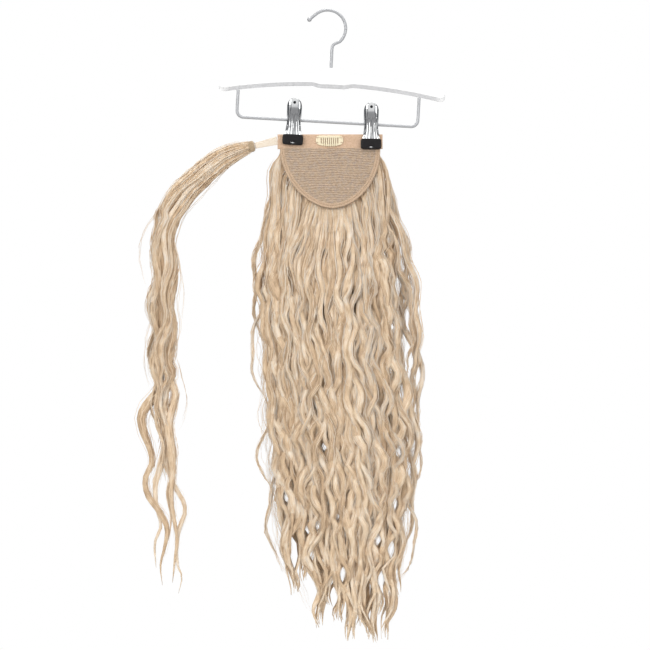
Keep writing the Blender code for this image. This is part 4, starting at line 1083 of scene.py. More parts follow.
TIPS = [  # the wisps that the locks gather into: where each ends, and the wave that it has by then
    dict(x=-0.0560, z=-0.596, length=0.064, phase=0.3, height=0.7),
    dict(x=-0.0420, z=-0.640, length=0.078, phase=2.0, height=1.0),
    dict(x=-0.0290, z=-0.626, length=0.052, phase=4.4, height=0.7),
    dict(x=-0.0130, z=-0.678, length=0.071, phase=1.1, height=1.0),
    dict(x=-0.0040, z=-0.652, length=0.058, phase=5.2, height=0.8),
    dict(x=0.0120, z=-0.672, length=0.086, phase=3.0, height=0.8),
    dict(x=0.0245, z=-0.692, length=0.066, phase=0.9, height=0.9),
    dict(x=0.0330, z=-0.676, length=0.055, phase=2.6, height=0.7),
    dict(x=0.0430, z=-0.690, length=0.090, phase=5.6, height=0.8),
    dict(x=0.0540, z=-0.694, length=0.068, phase=3.9, height=0.9),
    dict(x=0.0610, z=-0.664, length=0.050, phase=1.7, height=0.6),
    dict(x=0.0680, z=-0.690, length=0.074, phase=0.2, height=0.8),
    dict(x=0.0790, z=-0.646, length=0.062, phase=4.8, height=0.8),
    dict(x=0.0870, z=-0.608, length=0.070, phase=2.3, height=0.7),
]
GATHERED = 0.66  # how far a lock's tip is drawn to its wisp
GAPS = [  # the places where the fall parts between its locks and the light shows through
    dict(x=0.0660, z=-0.2500, half=0.0020, high=0.0085),
    dict(x=0.0628, z=-0.2680, half=0.0022, high=0.0075),
    dict(x=0.0820, z=-0.2800, half=0.0026, high=0.0100),
    dict(x=0.0775, z=-0.3010, half=0.0040, high=0.0120),
    dict(x=0.0880, z=-0.3330, half=0.0024, high=0.0130),
    dict(x=0.0717, z=-0.3470, half=0.0024, high=0.0110),
    dict(x=0.0840, z=-0.3640, half=0.0030, high=0.0105),
    dict(x=0.0625, z=-0.3700, half=0.0018, high=0.0080),
    dict(x=0.0920, z=-0.3850, half=0.0032, high=0.0130),
    dict(x=0.0695, z=-0.3960, half=0.0022, high=0.0085),
    dict(x=-0.0700, z=-0.2950, half=0.0018, high=0.0085),
    dict(x=-0.0745, z=-0.3690, half=0.0040, high=0.0150),
    dict(x=-0.0457, z=-0.5350, half=0.0030, high=0.0110),
    dict(x=-0.0039, z=-0.4800, half=0.0022, high=0.0080),
    dict(x=0.0785, z=-0.4844, half=0.0030, high=0.0120),
    dict(x=0.0745, z=-0.5416, half=0.0030, high=0.0110),
    dict(x=0.0556, z=-0.5823, half=0.0034, high=0.0110),
    dict(x=-0.0105, z=-0.5658, half=0.0030, high=0.0100),
    dict(x=0.0116, z=-0.5560, half=0.0022, high=0.0080),
    dict(x=-0.0369, z=-0.5999, half=0.0036, high=0.0130),
    dict(x=-0.0171, z=-0.5990, half=0.0024, high=0.0080),
    dict(x=0.0171, z=-0.6186, half=0.0034, high=0.0120),
    dict(x=0.0072, z=-0.6450, half=0.0040, high=0.0120),
    dict(x=0.0589, z=-0.6260, half=0.0038, high=0.0120),
    dict(x=0.0700, z=-0.5911, half=0.0036, high=0.0120),
]
WAVE_LENGTH = 0.061
WAVE_HEIGHT = 0.0043
CROSSING = (1.0, 1.0, 1.6, 4.0)  # how far a lock falls out of step with its neighbours
WAVE_GROWTH = [dict(z=-0.160, grown=0.06), dict(z=-0.230, grown=0.42), dict(z=-0.320, grown=0.82),
               dict(z=-0.420, grown=1.05), dict(z=-0.520, grown=1.35), dict(z=-0.690, grown=1.25)]
GUIDE_STEP = 0.0075
BEHIND_CLOTH = 0.0036
FIBRE = 0.00036  # radius of a drawn hair: several real ones, as fine as shows at this distance
HAIR_SHADES = [(0.0, "#AE9070"), (0.20, "#CBAD8A"), (0.42, "#DFC29E"), (0.62, "#ECD5B7"), (0.82, "#F6E8D5"),
               (1.0, "#E6DACB")]
HAIR_PATCH = (0.030, 0.030, 0.060)
STREAKS = (15, 14, 1)  # turns of the streak noise round a lock, and to a metre of its length


def fall_place(u, v, z):
    """A place in the fall: u across it and v through it, both from -1 to 1, at a height."""
    row = between(FALL_ROWS, "z", z)
    x = (row["left"] + row["right"]) / 2 + u * (row["right"] - row["left"]) / 2
    y = (row["front"] + row["back"]) / 2 + v * (row["back"] - row["front"]) / 2
    return Vector((x, y, z))


def clear_of_base(place, deep):
    """Keeps a lock behind the net until it is past the binding, then lets it come forward."""
    share = min(abs(place.x - BASE_X) / CAP_HALF_WIDTH, 1.0)
    edge = CAP_TOP - CAP_DEPTH * (1 - share ** CAP_FULLNESS) ** (1 / CAP_FULLNESS)
    nearest = BEHIND_CLOTH + deep - max(0.0, edge - 0.003 - place.z) * 0.55
    return Vector((place.x, max(place.y, nearest), place.z)) if share < 1 else place


def parted(points, halves, gaps=GAPS):
    """Draws a lock aside where it would cover a gap, to the side of it that it already passes on."""
    for gap in gaps:
        nearest = min(points, key=lambda point: abs(point.z - gap["z"]))
        side = math.copysign(1.0, nearest.x - gap["x"])
        for point, half in zip(points, halves):
            near = math.exp(-((point.z - gap["z"]) / gap["high"]) ** 2)
            short = (gap["half"] + half) * near - side * (point.x - gap["x"])
            point.x += side * max(0.0, short) * min(1.0, 2 * near)


def lock_guide(draw, u, v, root, half, deep):
    """A lock's middle line and its sizes: from its root it opens out, waves, and runs to a wisp."""
    natural = fall_place(u, v, -0.600).x
    wisp = min(TIPS, key=lambda row: abs(row["x"] - natural - draw.uniform(-0.006, 0.006)))
    tip = wisp["z"] + draw.uniform(0.0, 1.0) ** 3 * 0.034
    tip_x = wisp["x"] + draw.uniform(-0.0055, 0.0055)
    crossing = draw.choice(CROSSING)
    phase = 2.6 * math.sin(1.7 * u + 0.7) + draw.uniform(-0.7, 0.7) * crossing
    length = WAVE_LENGTH * draw.uniform(0.90, 1.12)
    height = WAVE_HEIGHT * draw.uniform(0.6, 1.35)
    drift, drift_phase = draw.uniform(0.03, 0.11), draw.uniform(0, 2 * math.pi)
    pinch_phase, turn = draw.uniform(0, 2 * math.pi), draw.uniform(0.8, 1.3)
    opening = 0.085 - 0.062 * min(1.0, max(0.0, (abs(u) - 0.45) / 0.35))
    steps = max(round((root.z - tip) / GUIDE_STEP), 8)
    points, halves, deeps = [], [], []
    for k in range(steps + 1):
        share = k / steps * (1.16 - 0.16 * k / steps)  # closer steps towards the tip, where it bends more
        z = root.z + (tip - root.z) * share
        opened = min((root.z - z) / opening, 1.0)
        opened = opened * opened * (3 - 2 * opened)
        swing = 2 * math.pi * z / length + phase + 0.6 * math.sin(z * 31 + drift_phase)
        grown_here = between(WAVE_GROWTH, "z", z)["grown"]
        away = u + drift * opened * math.sin(z * 17 + drift_phase)
        inner = 1 - 0.045 * min(1.0, grown_here)
        place = root.lerp(fall_place(away * inner, v, z), opened)
        place.z = z
        drawn = min(max((share - 0.50) / 0.45, 0.0), 1.0)
        drawn = drawn * drawn * (3 - 2 * drawn)
        place.x += (tip_x - place.x) * GATHERED * drawn
        own = math.sin(swing) + 0.18 * math.sin(2.3 * swing + pinch_phase)
        shared = wisp["height"] * math.sin(2 * math.pi * z / wisp["length"] + wisp["phase"])
        place.x += height * grown_here * (own * (1 - 0.62 * drawn) + shared * 0.75 * drawn)
        place.y += 0.45 * height * grown_here * math.cos(swing * turn)
        narrow = min(1.0, 0.45 + 3.2 * share) * (1 - min(share, 1.0) ** 12) ** 0.9
        swell = 1 + 0.24 * math.sin(z * 58 + pinch_phase) + 0.12 * math.sin(z * 137 + drift_phase)
        halves.append(max(half * narrow * swell, 0.00025))
        deeps.append(max(deep * narrow * swell, 0.00020))
        points.append(clear_of_base(place, deeps[-1]))
    parted(points, halves)
    return dict(points=points, halves=halves, deeps=deeps, tone=draw.uniform(0, 1))


def hair_finish(name, streaked):
    """Smooth fibre with a soft sheen: each hair or streak has its own shade, from taupe to pale beige."""
    material, tree, shader = finish_of(name, "#CDB69A", 0.44, IOR=1.55, Sheen_Weight=0.15)
    tone = add(tree, "ShaderNodeAttribute", attribute_name="tone").outputs["Fac"]
    patch = add(tree, "ShaderNodeTexNoise", {"Vector": object_place(tree, HAIR_PATCH), "Detail": 2.0})
    shade = add(tree, "ShaderNodeMath", {0: patch, 1: -0.5}, operation="ADD")
    shade = add(tree, "ShaderNodeMath", {0: shade, 1: 0.9, 2: tone}, operation="MULTIPLY_ADD")
    if streaked:
        uv = add(tree, "ShaderNodeTexCoord").outputs["UV"]
        place = add(tree, "ShaderNodeMapping", {0: uv, "Scale": STREAKS})
        streak = add(tree, "ShaderNodeTexNoise", {"Vector": place, "Detail": 4.0, "Roughness": 0.68})
        apart = add(tree, "ShaderNodeMath", {0: streak, 1: -0.5}, operation="ADD")
        shade = add(tree, "ShaderNodeMath", {0: apart, 1: 2.0, 2: shade}, operation="MULTIPLY_ADD")
        add(tree, "ShaderNodeBump", {"Height": streak, "Distance": 0.0006}, shader.inputs["Normal"])
    add(tree, "ShaderNodeValToRGB", {0: shade}, shader.inputs["Base Color"], HAIR_SHADES)
    return material


def strand_tree(material):
    """Hairs over the locks: each follows its lock at its own distance, strays a little and thins out."""
    tree = bpy.data.node_groups.new("hairs_of_a_lock", "GeometryNodeTree")
    sockets = tree.interface
    sockets.new_socket("Locks", in_out="INPUT", socket_type="NodeSocketGeometry")
    for name, kind, value in (("Hairs", "NodeSocketInt", 14), ("Radius", "NodeSocketFloat", FIBRE),
                              ("Stray", "NodeSocketFloat", 0.0022), ("Splay", "NodeSocketFloat", 0.003),
                              ("Shortest", "NodeSocketFloat", 0.78), ("Seed", "NodeSocketInt", 1)):
        sockets.new_socket(name, in_out="INPUT", socket_type=kind).default_value = value
    sockets.new_socket("Hair", in_out="OUTPUT", socket_type="NodeSocketGeometry")
    given = add(tree, "NodeGroupInput").outputs

    locks = add(tree, "GeometryNodeMeshToCurve", {0: given["Locks"]})
    hairs = add(tree, "GeometryNodeDuplicateElements", {0: locks, "Amount": given["Hairs"]}, domain="SPLINE")
    number = add(tree, "GeometryNodeInputIndex")
    hair_number = add(tree, "GeometryNodeFieldOnDomain", {0: number}, domain="CURVE", data_type="INT")

    def own(low, high, shift):
        """A number that each hair draws for itself between two limits."""
        seed = add(tree, "ShaderNodeMath", {0: given["Seed"], 1: shift}, operation="ADD")
        drawn = {2: low, 3: high, "ID": hair_number, "Seed": seed}
        return add(tree, "FunctionNodeRandomValue", drawn, data_type="FLOAT").outputs[1]

    # Each hair keeps its own place round its lock: so far to the side and so far out.
    half, deep, tone = (add(tree, "GeometryNodeInputNamedAttribute", {0: label}, data_type="FLOAT")
                        for label in ("half", "deep", "tone"))
    angle, reach = own(0.0, 2 * math.pi, 0), own(0.55, 1.45, 1)
    cosine = add(tree, "ShaderNodeMath", {0: angle}, operation="COSINE")
    sine = add(tree, "ShaderNodeMath", {0: angle}, operation="SINE")
    aside = add(tree, "ShaderNodeMath", {0: half, 1: reach}, operation="MULTIPLY")
    aside = add(tree, "ShaderNodeMath", {0: aside, 1: cosine}, operation="MULTIPLY")
    out = add(tree, "ShaderNodeMath", {0: deep, 1: reach}, operation="MULTIPLY")
    out = add(tree, "ShaderNodeMath", {0: out, 1: sine}, operation="MULTIPLY")
    way = add(tree, "GeometryNodeInputTangent")
    across = add(tree, "ShaderNodeVectorMath", {0: way, 1: (0, 1, 0)}, operation="CROSS_PRODUCT")
    across = add(tree, "ShaderNodeVectorMath", {0: across}, operation="NORMALIZE")
    aside = add(tree, "ShaderNodeVectorMath", {0: across, "Scale": aside}, operation="SCALE")
    out = add(tree, "ShaderNodeCombineXYZ", {1: out})
    laid = add(tree, "ShaderNodeVectorMath", {0: aside, 1: out}, operation="ADD")

    # It strays from that a little, by a noise of its own, and most of all at its tip.
    along = add(tree, "GeometryNodeSplineParameter").outputs[0]
    place = add(tree, "GeometryNodeInputPosition")
    place = add(tree, "ShaderNodeVectorMath", {0: place, "Scale": 22.0}, operation="SCALE")
    apart = add(tree, "ShaderNodeCombineXYZ", {0: hair_number})
    apart = add(tree, "ShaderNodeVectorMath", {0: apart, "Scale": 0.37}, operation="SCALE")
    place = add(tree, "ShaderNodeVectorMath", {0: place, 1: apart}, operation="ADD")
    frizz = add(tree, "ShaderNodeTexNoise", {"Vector": place, "Detail": 1.0}).outputs["Color"]
    frizz = add(tree, "ShaderNodeVectorMath", {0: frizz, 1: (0.5, 0.5, 0.5)}, operation="SUBTRACT")
    splayed = add(tree, "ShaderNodeMath", {0: along, 1: 3.0}, operation="POWER")
    splayed = add(tree, "ShaderNodeMath", {0: splayed, 1: given["Splay"]}, operation="MULTIPLY")
    loosened = add(tree, "ShaderNodeMath", {0: along, 1: 6.0}, operation="MULTIPLY")
    loosened = add(tree, "ShaderNodeMath", {0: loosened, 1: 1.0}, operation="MINIMUM")
    loosened = add(tree, "ShaderNodeMath", {0: loosened, 1: given["Stray"]}, operation="MULTIPLY")
    amount = add(tree, "ShaderNodeMath", {0: loosened, 1: splayed}, operation="ADD")
    amount = add(tree, "ShaderNodeMath", {0: amount, 1: 2.0}, operation="MULTIPLY")
    frizz = add(tree, "ShaderNodeVectorMath", {0: frizz, "Scale": amount}, operation="SCALE")
    offset = add(tree, "ShaderNodeVectorMath", {0: laid, 1: frizz}, operation="ADD")
    moved = add(tree, "GeometryNodeSetPosition", {0: hairs, "Offset": offset})

    # It starts and ends where it likes, has its own shade, and is fine at both ends.
    ends = {2: own(0.0, 0.03, 2), 3: own(given["Shortest"], 1.0, 3)}
    cut = add(tree, "GeometryNodeTrimCurve", {0: moved, **ends})
    shade = add(tree, "ShaderNodeMath", {0: tone, 1: 0.36}, operation="MULTIPLY")
    shade = add(tree, "ShaderNodeMath", {0: shade, 1: own(-0.05, 0.88, 4)}, operation="ADD")
    toned = add(tree, "GeometryNodeStoreNamedAttribute", {0: cut, "Name": "tone", "Value": shade},
                data_type="FLOAT", domain="POINT")
    thinning = add(tree, "ShaderNodeMath", {0: along, 1: 5.0}, operation="POWER")
    thinning = add(tree, "ShaderNodeMath", {0: 1.0, 1: thinning}, operation="SUBTRACT")
    rising = add(tree, "ShaderNodeMath", {0: along, 1: 20.0, 2: 0.15}, operation="MULTIPLY_ADD")
    rising = add(tree, "ShaderNodeMath", {0: rising, 1: 1.0}, operation="MINIMUM")
    size = add(tree, "ShaderNodeMath", {0: thinning, 1: rising}, operation="MULTIPLY")
    radius = add(tree, "ShaderNodeMath", {0: given["Radius"], 1: own(0.6, 1.35, 5)}, operation="MULTIPLY")
    size = add(tree, "ShaderNodeMath", {0: size, 1: radius}, operation="MULTIPLY")
    size = add(tree, "ShaderNodeMath", {0: size, 1: 0.00003}, operation="MAXIMUM")
    outline = add(tree, "GeometryNodeCurvePrimitiveCircle", {"Resolution": 3, "Radius": 1.0})
    skinned = add(tree, "GeometryNodeCurveToMesh", {0: toned, 1: outline, "Scale": size, "Fill Caps": True})
    smooth = add(tree, "GeometryNodeSetShadeSmooth", {0: skinned})
    real = add(tree, "GeometryNodeRealizeInstances", {0: smooth})
    coloured = add(tree, "GeometryNodeSetMaterial", {0: real, "Material": material})
    add(tree, "NodeGroupOutput", {0: coloured})
    return tree


lock_fibre = hair_finish("waved_fibre_in_locks", True)
hair_fibre = hair_finish("waved_single_fibres", False)
strands = strand_tree(hair_fibre)
LOCK_SECTION = ring_profile(8, 0.24, 4)


def hair_pieces(name, locks, node, hairs, radius=FIBRE, seed=1, bodies=True, **inputs):
    """The locks as one piece of bodies and one of the hairs over them."""
    if bodies:
        skin = new_skin()
        for lock in locks:
            sizes = list(zip(lock["halves"], lock["deeps"]))
            loft_into(skin, rings_along(lock["points"], sizes, LOCK_SECTION), lock["tone"] * 0.42 + 0.25)
        piece_of(name + "_locks", mesh_of(name + "_locks", skin, None), lock_fibre, [node])
    values = dict(
        half=[value for lock in locks for value in lock["halves"]],
        deep=[value for lock in locks for value in lock["deeps"]],
        tone=[lock["tone"] for lock in locks for _ in lock["points"]],
    )
    inputs = {"Hairs": hairs, "Radius": radius, "Seed": seed, **inputs}
    mesh = grown(name + "_hairs", [lock["points"] for lock in locks], strands, inputs, values)
    piece_of(name + "_hairs", mesh, None, [node])


LAYERS = [  # locks in each layer, how far out it lies, its weft row, a lock's sizes, hairs on each
    dict(name="fall_front", count=44, facing=-1, reach=1.0, row=3, half=0.0034, deep=0.0018, hairs=12),
    dict(name="fall_front_under", count=34, facing=-1, reach=0.80, row=3, half=0.0044, deep=0.0024, hairs=7),
    dict(name="fall_back_under", count=22, facing=1, reach=0.75, row=2, half=0.0054, deep=0.0030, hairs=5),
    dict(name="fall_back", count=36, facing=1, reach=1.0, row=0, half=0.0042, deep=0.0022, hairs=8),
]


def weft_root(u, row):
    """Where a lock starts on its weft; the locks of the sides start at the ends of the widest one."""
    if abs(u) > 0.8:
        return Vector((BASE_X + math.copysign(0.0520, u), BEHIND_CLOTH + 0.001, -0.1490))
    if abs(u) > 0.55:
        row = 1
    spread = u / 0.55 if row == 0 else u
    weft = WEFTS[row]
    x = (weft["left"] + weft["right"]) / 2 + spread * (weft["right"] - weft["left"]) / 2
    return Vector((x, BEHIND_CLOTH + 0.001, weft["z"] - 0.001))


draw = random.Random(11)
for number, layer in enumerate(LAYERS):
    locks = []
    for k in range(layer["count"]):
        u = -0.98 + 1.96 * (k + 0.5 + draw.uniform(-0.45, 0.45)) / layer["count"]
        bulge = math.sqrt(max(0.0, 1 - (0.92 * u) ** 2))
        v = layer["facing"] * layer["reach"] * bulge + draw.uniform(-0.12, 0.12)
        half = layer["half"] * draw.uniform(0.6, 1.35)
        locks.append(lock_guide(draw, u, v, weft_root(u, layer["row"]), half, layer["deep"]))
    hair_pieces(layer["name"], locks, "hair_fall", layer["hairs"], seed=number * 20 + 3)

# The heart of the fall: the hair that lies too deep to be told apart, as one fluted mass.
# It is in the shade of the locks around it, its tone is painted darker than theirs as shade, and it shows
# only as the dark of the gaps between them.
CORE_TOP = -0.160
CORE_FOOT = -0.468
CORE_FLUTES = 18
CORE_WIDE = 0.79
CORE_DEEP = 0.66
# Painted shade: the heart's tone is darker than the locks', for the shade deep in the fall.
CORE_PAINTED_SHADE_TONE = 0.34


def core_ring(z):
    """The heart's outline at a height, drawn in as it runs out among the tips."""
    share = (CORE_TOP - z) / (CORE_TOP - CORE_FOOT)
    size = min(1.0, 4 * share + 0.4) * math.sqrt(max(0.0, 1 - share ** 6))
    ring = []
    for k in range(CORE_FLUTES * 4):
        a = 2 * math.pi * k / (CORE_FLUTES * 4)
        flute = 1 - 0.10 * (0.5 + 0.5 * math.cos(a * CORE_FLUTES + 3 * math.sin(z * 40)))
        place = fall_place(CORE_WIDE * size * flute * math.cos(a), CORE_DEEP * size * flute * math.sin(a), z)
        wave = WAVE_HEIGHT * 0.6 * between(WAVE_GROWTH, "z", z)["grown"]
        place.x += wave * math.sin(2 * math.pi * z / WAVE_LENGTH + a)
        ring.append(clear_of_base(place, 0.0004))
    return ring


skin = new_skin()
rings = [core_ring(CORE_TOP + (CORE_FOOT - CORE_TOP) * k / 90) for k in range(91)]
loft_into(skin, rings, CORE_PAINTED_SHADE_TONE)
piece_of("fall_heart", mesh_of("fall_heart", skin, None), lock_fibre, ["hair_fall"])

# The side locks: waved locks that have worked loose from the fall and stand out at its sides.
# They bow out and join it again lower down, with the light between, and single hairs fly off among them.
SIDE_LOCKS = [  # each lock's ends, how far out it bows between them, and its half width
    dict(x=0.0640, z=-0.185, out=0.0880, end_x=0.0770, end_z=-0.380, half=0.0042, y=0.010),
    dict(x=0.0680, z=-0.215, out=0.0990, end_x=0.0830, end_z=-0.440, half=0.0040, y=0.004),
    dict(x=0.0720, z=-0.270, out=0.1025, end_x=0.0900, end_z=-0.500, half=0.0032, y=0.014),
    dict(x=0.0700, z=-0.240, out=0.0920, end_x=0.0860, end_z=-0.420, half=0.0024, y=0.000),
    dict(x=0.0680, z=-0.250, out=0.0840, end_x=0.0790, end_z=-0.430, half=0.0036, y=0.016),
    dict(x=0.0740, z=-0.320, out=0.0960, end_x=0.0850, end_z=-0.470, half=0.0030, y=0.009),
    dict(x=0.0780, z=-0.390, out=0.0980, end_x=0.0860, end_z=-0.550, half=0.0036, y=0.006),
    dict(x=0.0820, z=-0.450, out=0.0960, end_x=0.0800, end_z=-0.610, half=0.0030, y=0.012),
    dict(x=0.0900, z=-0.430, out=0.1040, end_x=0.0900, end_z=-0.535, half=0.0012, y=0.010),
    dict(x=0.0800, z=-0.530, out=0.0985, end_x=0.0760, end_z=-0.630, half=0.0011, y=0.008),
    dict(x=0.0800, z=-0.540, out=0.0730, end_x=0.0665, end_z=-0.692, half=0.0036, y=0.004),
    dict(x=-0.0560, z=-0.190, out=-0.0800, end_x=-0.0700, end_z=-0.385, half=0.0026, y=0.008),
    dict(x=-0.0640, z=-0.315, out=-0.0850, end_x=-0.0640, end_z=-0.435, half=0.0017, y=0.004),
    dict(x=-0.0580, z=-0.440, out=-0.0760, end_x=-0.0580, end_z=-0.535, half=0.0011, y=0.010),
    dict(x=-0.0520, z=-0.500, out=-0.0665, end_x=-0.0500, end_z=-0.618, half=0.0014, y=0.012),
    dict(x=-0.0560, z=-0.480, out=-0.0490, end_x=-0.0400, end_z=-0.642, half=0.0046, y=0.006),
]
FLYAWAYS = 60
FLYAWAY_HAIR = 0.00016


def side_guide(draw, row, wave=0.6):
    """A lock that leaves the fall, bows out and joins it again."""
    steps = max(round((row["z"] - row["end_z"]) / GUIDE_STEP), 8)
    bow = row["out"] - (row["x"] + row["end_x"]) / 2
    phase = draw.uniform(0, 2 * math.pi)
    points, halves, deeps = [], [], []
    for k in range(steps + 1):
        share = k / steps
        z = row["z"] + (row["end_z"] - row["z"]) * share
        free = math.sin(math.pi * share)
        x = row["x"] + (row["end_x"] - row["x"]) * share + bow * free
        x += WAVE_HEIGHT * wave * math.sin(2 * math.pi * z / WAVE_LENGTH + phase) * free ** 0.5
        points.append(Vector((x, row["y"] + 0.003 * math.sin(z * 60 + phase), z)))
        halves.append(max(row["half"] * math.sin(math.pi * min(share + 0.12, 0.985)) ** 0.6, 0.0002))
        deeps.append(halves[-1] * 0.7)
    return dict(points=points, halves=halves, deeps=deeps, tone=draw.uniform(0.3, 1.0))


locks = [side_guide(draw, row) for row in SIDE_LOCKS]
for lock in locks:
    parted(lock["points"], lock["halves"])
hair_pieces("fall_side", locks, "hair_fall", 14, seed=101)

strays = []
for k in range(FLYAWAYS):
    side = -1 if k % 2 else 1
    top = draw.uniform(-0.56, -0.17)
    long = draw.uniform(0.08, 0.20)
    edge, end = fall_place(side * 0.96, 0, top), fall_place(side * 0.92, 0, max(top - long, -0.67))
    middle = fall_place(side, 0, max(top - long / 2, -0.66))
    row = dict(x=edge.x, z=top, out=middle.x + side * draw.uniform(-0.002, 0.007), end_x=end.x,
               end_z=end.z, half=0.0009, y=draw.uniform(-0.004, 0.022))
    strays.append(side_guide(draw, row, draw.uniform(0.3, 0.9)))
hair_pieces("fall_flyaway", strays, "hair_fall", 2, radius=FLYAWAY_HAIR, seed=140, bodies=False)

# The wrap lock: a thinner tail of the same fibre from the collar, wound round the hair tie in use.
# It bends over under its own weight, hangs beside the fall and parts into a few loose ends.
WRAP_ROWS = [  # the tail's middle line, its half width and its half depth
    dict(s=0.00, x=-0.0858, z=-0.1490, half=0.0066, deep=0.0038),
    dict(s=0.02, x=-0.0963, z=-0.1520, half=0.0092, deep=0.0052),
    dict(s=0.06, x=-0.1161, z=-0.1608, half=0.0122, deep=0.0072),
    dict(s=0.10, x=-0.1315, z=-0.1724, half=0.0140, deep=0.0082),
    dict(s=0.14, x=-0.1447, z=-0.1846, half=0.0142, deep=0.0086),
    dict(s=0.18, x=-0.1566, z=-0.1962, half=0.0150, deep=0.0092),
    dict(s=0.22, x=-0.1662, z=-0.2085, half=0.0150, deep=0.0096),
    dict(s=0.26, x=-0.1748, z=-0.2215, half=0.0142, deep=0.0100),
    dict(s=0.30, x=-0.1788, z=-0.2360, half=0.0135, deep=0.0104),
    dict(s=0.36, x=-0.1800, z=-0.2580, half=0.0135, deep=0.0104),
    dict(s=0.46, x=-0.1810, z=-0.3000, half=0.0150, deep=0.0104),
    dict(s=0.60, x=-0.1825, z=-0.3600, half=0.0160, deep=0.0104),
    dict(s=0.74, x=-0.1815, z=-0.4150, half=0.0160, deep=0.0100),
    dict(s=0.86, x=-0.1790, z=-0.4650, half=0.0130, deep=0.0090),
    dict(s=1.00, x=-0.1770, z=-0.5200, half=0.0100, deep=0.0080),
]
WRAP_TAILS = [  # loose ends below the tail: where each leaves it, and its own way down
    dict(upto=0.70, across=-0.75, half=0.0062, way=[(-0.2010, -0.436), (-0.2040, -0.456), (-0.1950, -0.482),
         (-0.1935, -0.497), (-0.2005, -0.514), (-0.1975, -0.532), (-0.1854, -0.549), (-0.1765, -0.568),
         (-0.1790, -0.589), (-0.1838, -0.609), (-0.1815, -0.631)]),
    dict(upto=0.92, across=0.20, half=0.0050, way=[(-0.1690, -0.520), (-0.1590, -0.538), (-0.1570, -0.552),
         (-0.1635, -0.570), (-0.1660, -0.593), (-0.1640, -0.612), (-0.1600, -0.622), (-0.1640, -0.640)]),
    dict(upto=0.88, across=0.75, half=0.0058, way=[(-0.1700, -0.505), (-0.1720, -0.530), (-0.1690, -0.555),
         (-0.1655, -0.580), (-0.1680, -0.605), (-0.1705, -0.628)]),
    dict(upto=0.84, across=-0.30, half=0.0060, way=[(-0.1830, -0.498), (-0.1895, -0.520), (-0.1880, -0.545),
         (-0.1835, -0.566), (-0.1900, -0.585), (-0.1885, -0.612)]),
    dict(upto=0.80, across=0.0, half=0.0056, way=[(-0.1760, -0.480), (-0.1700, -0.505), (-0.1760, -0.530),
         (-0.1720, -0.556), (-0.1745, -0.580)]),
]
WRAP_STRAYS = [  # single hairs that loop out of the tail
    dict(x=-0.1760, z=-0.205, out=-0.2060, end_x=-0.1960, end_z=-0.310, half=0.0006, y=0.000),
    dict(x=-0.1900, z=-0.330, out=-0.2020, end_x=-0.1930, end_z=-0.420, half=0.0006, y=0.004),
    dict(x=-0.1690, z=-0.250, out=-0.1590, end_x=-0.1640, end_z=-0.360, half=0.0006, y=-0.003),
    dict(x=-0.1660, z=-0.380, out=-0.1560, end_x=-0.1650, end_z=-0.470, half=0.0006, y=0.003),
]
WRAP_COUNT = 19
WRAP_HALF = 0.0034
WRAP_STRAY_HAIR = 0.00020
# Painted shade: the tail's heart has a dark tone, for the shade deep inside the tail.
WRAP_HEART = dict(foot=0.66, size=0.62, flute=0.07, tone=0.15)
WRAP_GAPS = [  # where the tail parts between its locks
    dict(x=-0.1838, z=-0.2270, half=0.0022, high=0.0085),
    dict(x=-0.1800, z=-0.4020, half=0.0016, high=0.0080),
    dict(x=-0.1735, z=-0.4200, half=0.0020, high=0.0100),
]
WRAP_TWIST = (-1.5, 5.5)  # how far a lock turns round the tail on its way down, in radians


def wrap_place(s, across, deep, phase, height):
    """A place in the tail: s along it, across and deep from -1 to 1, with its wave."""
    row = between(WRAP_ROWS, "s", s)
    ahead = between(WRAP_ROWS, "s", min(s + 0.02, 1.0))
    behind = between(WRAP_ROWS, "s", max(s - 0.02, 0.0))
    way = Vector((ahead["x"] - behind["x"], 0, ahead["z"] - behind["z"])).normalized()
    side = Vector((-way.z, 0, way.x))
    grown_here = min(s / 0.45, 1.0) ** 1.3
    swing = math.sin(2 * math.pi * row["z"] / WAVE_LENGTH + phase) * height * grown_here
    place = Vector((row["x"], 0, row["z"])) + side * (-across * row["half"] * 0.8 + swing)
    place.y = deep * row["deep"] * 0.7 + 0.3 * height * grown_here * math.cos(row["z"] * 90 + phase)
    return place


def wrap_guide(draw, across, deep, upto, half, way=()):
    """A lock of the tail: it twists slowly round the others as it goes, and may end in a way of its own."""
    phase = 0.9 * across + draw.uniform(-1.6, 1.6)
    height = WAVE_HEIGHT * draw.uniform(0.45, 0.9)
    twist, turn = draw.uniform(*WRAP_TWIST), math.atan2(deep, across)
    reach = math.hypot(across, deep)
    count = round(upto * 46)
    points = []
    for k in range(count + 1):
        s = upto * k / count
        angle = turn + twist * s ** 1.5
        points.append(wrap_place(s, reach * math.cos(angle), reach * math.sin(angle), phase, height))
    depth = points[-1].y
    points += [Vector((x, depth * (1 - k / len(way)), z)) for k, (x, z) in enumerate(way, start=1)]
    points = rounded_path(points, GUIDE_STEP)
    last = len(points) - 1
    pinch = draw.uniform(0, 2 * math.pi)
    halves = []
    for k in range(last + 1):
        share = k / last
        head = 0.52 + 0.48 * min(share / 0.14, 1.0)
        swell = 1 + 0.20 * math.sin(share * 26 + pinch)
        halves.append(max(half * head * swell * (1 - share ** 4.5) ** 0.8, 0.00022))
    parted(points, halves, WRAP_GAPS)
    deeps = [half * 0.62 for half in halves]
    return dict(points=points, halves=halves, deeps=deeps, tone=draw.uniform(0.1, 1))


locks = []
for k in range(WRAP_COUNT):
    turn = 2 * math.pi * (k * 0.381966)
    reach = math.sqrt((k + 0.6) / WRAP_COUNT)
    upto, half = draw.uniform(0.72, 1.0), WRAP_HALF * draw.uniform(0.7, 1.3)
    locks.append(wrap_guide(draw, reach * math.cos(turn), reach * math.sin(turn), upto, half))
locks += [wrap_guide(draw, row["across"], 0.2, row["upto"], row["half"], row["way"]) for row in WRAP_TAILS]
hair_pieces("wrap", locks, "wrap_hair", 13, seed=201)

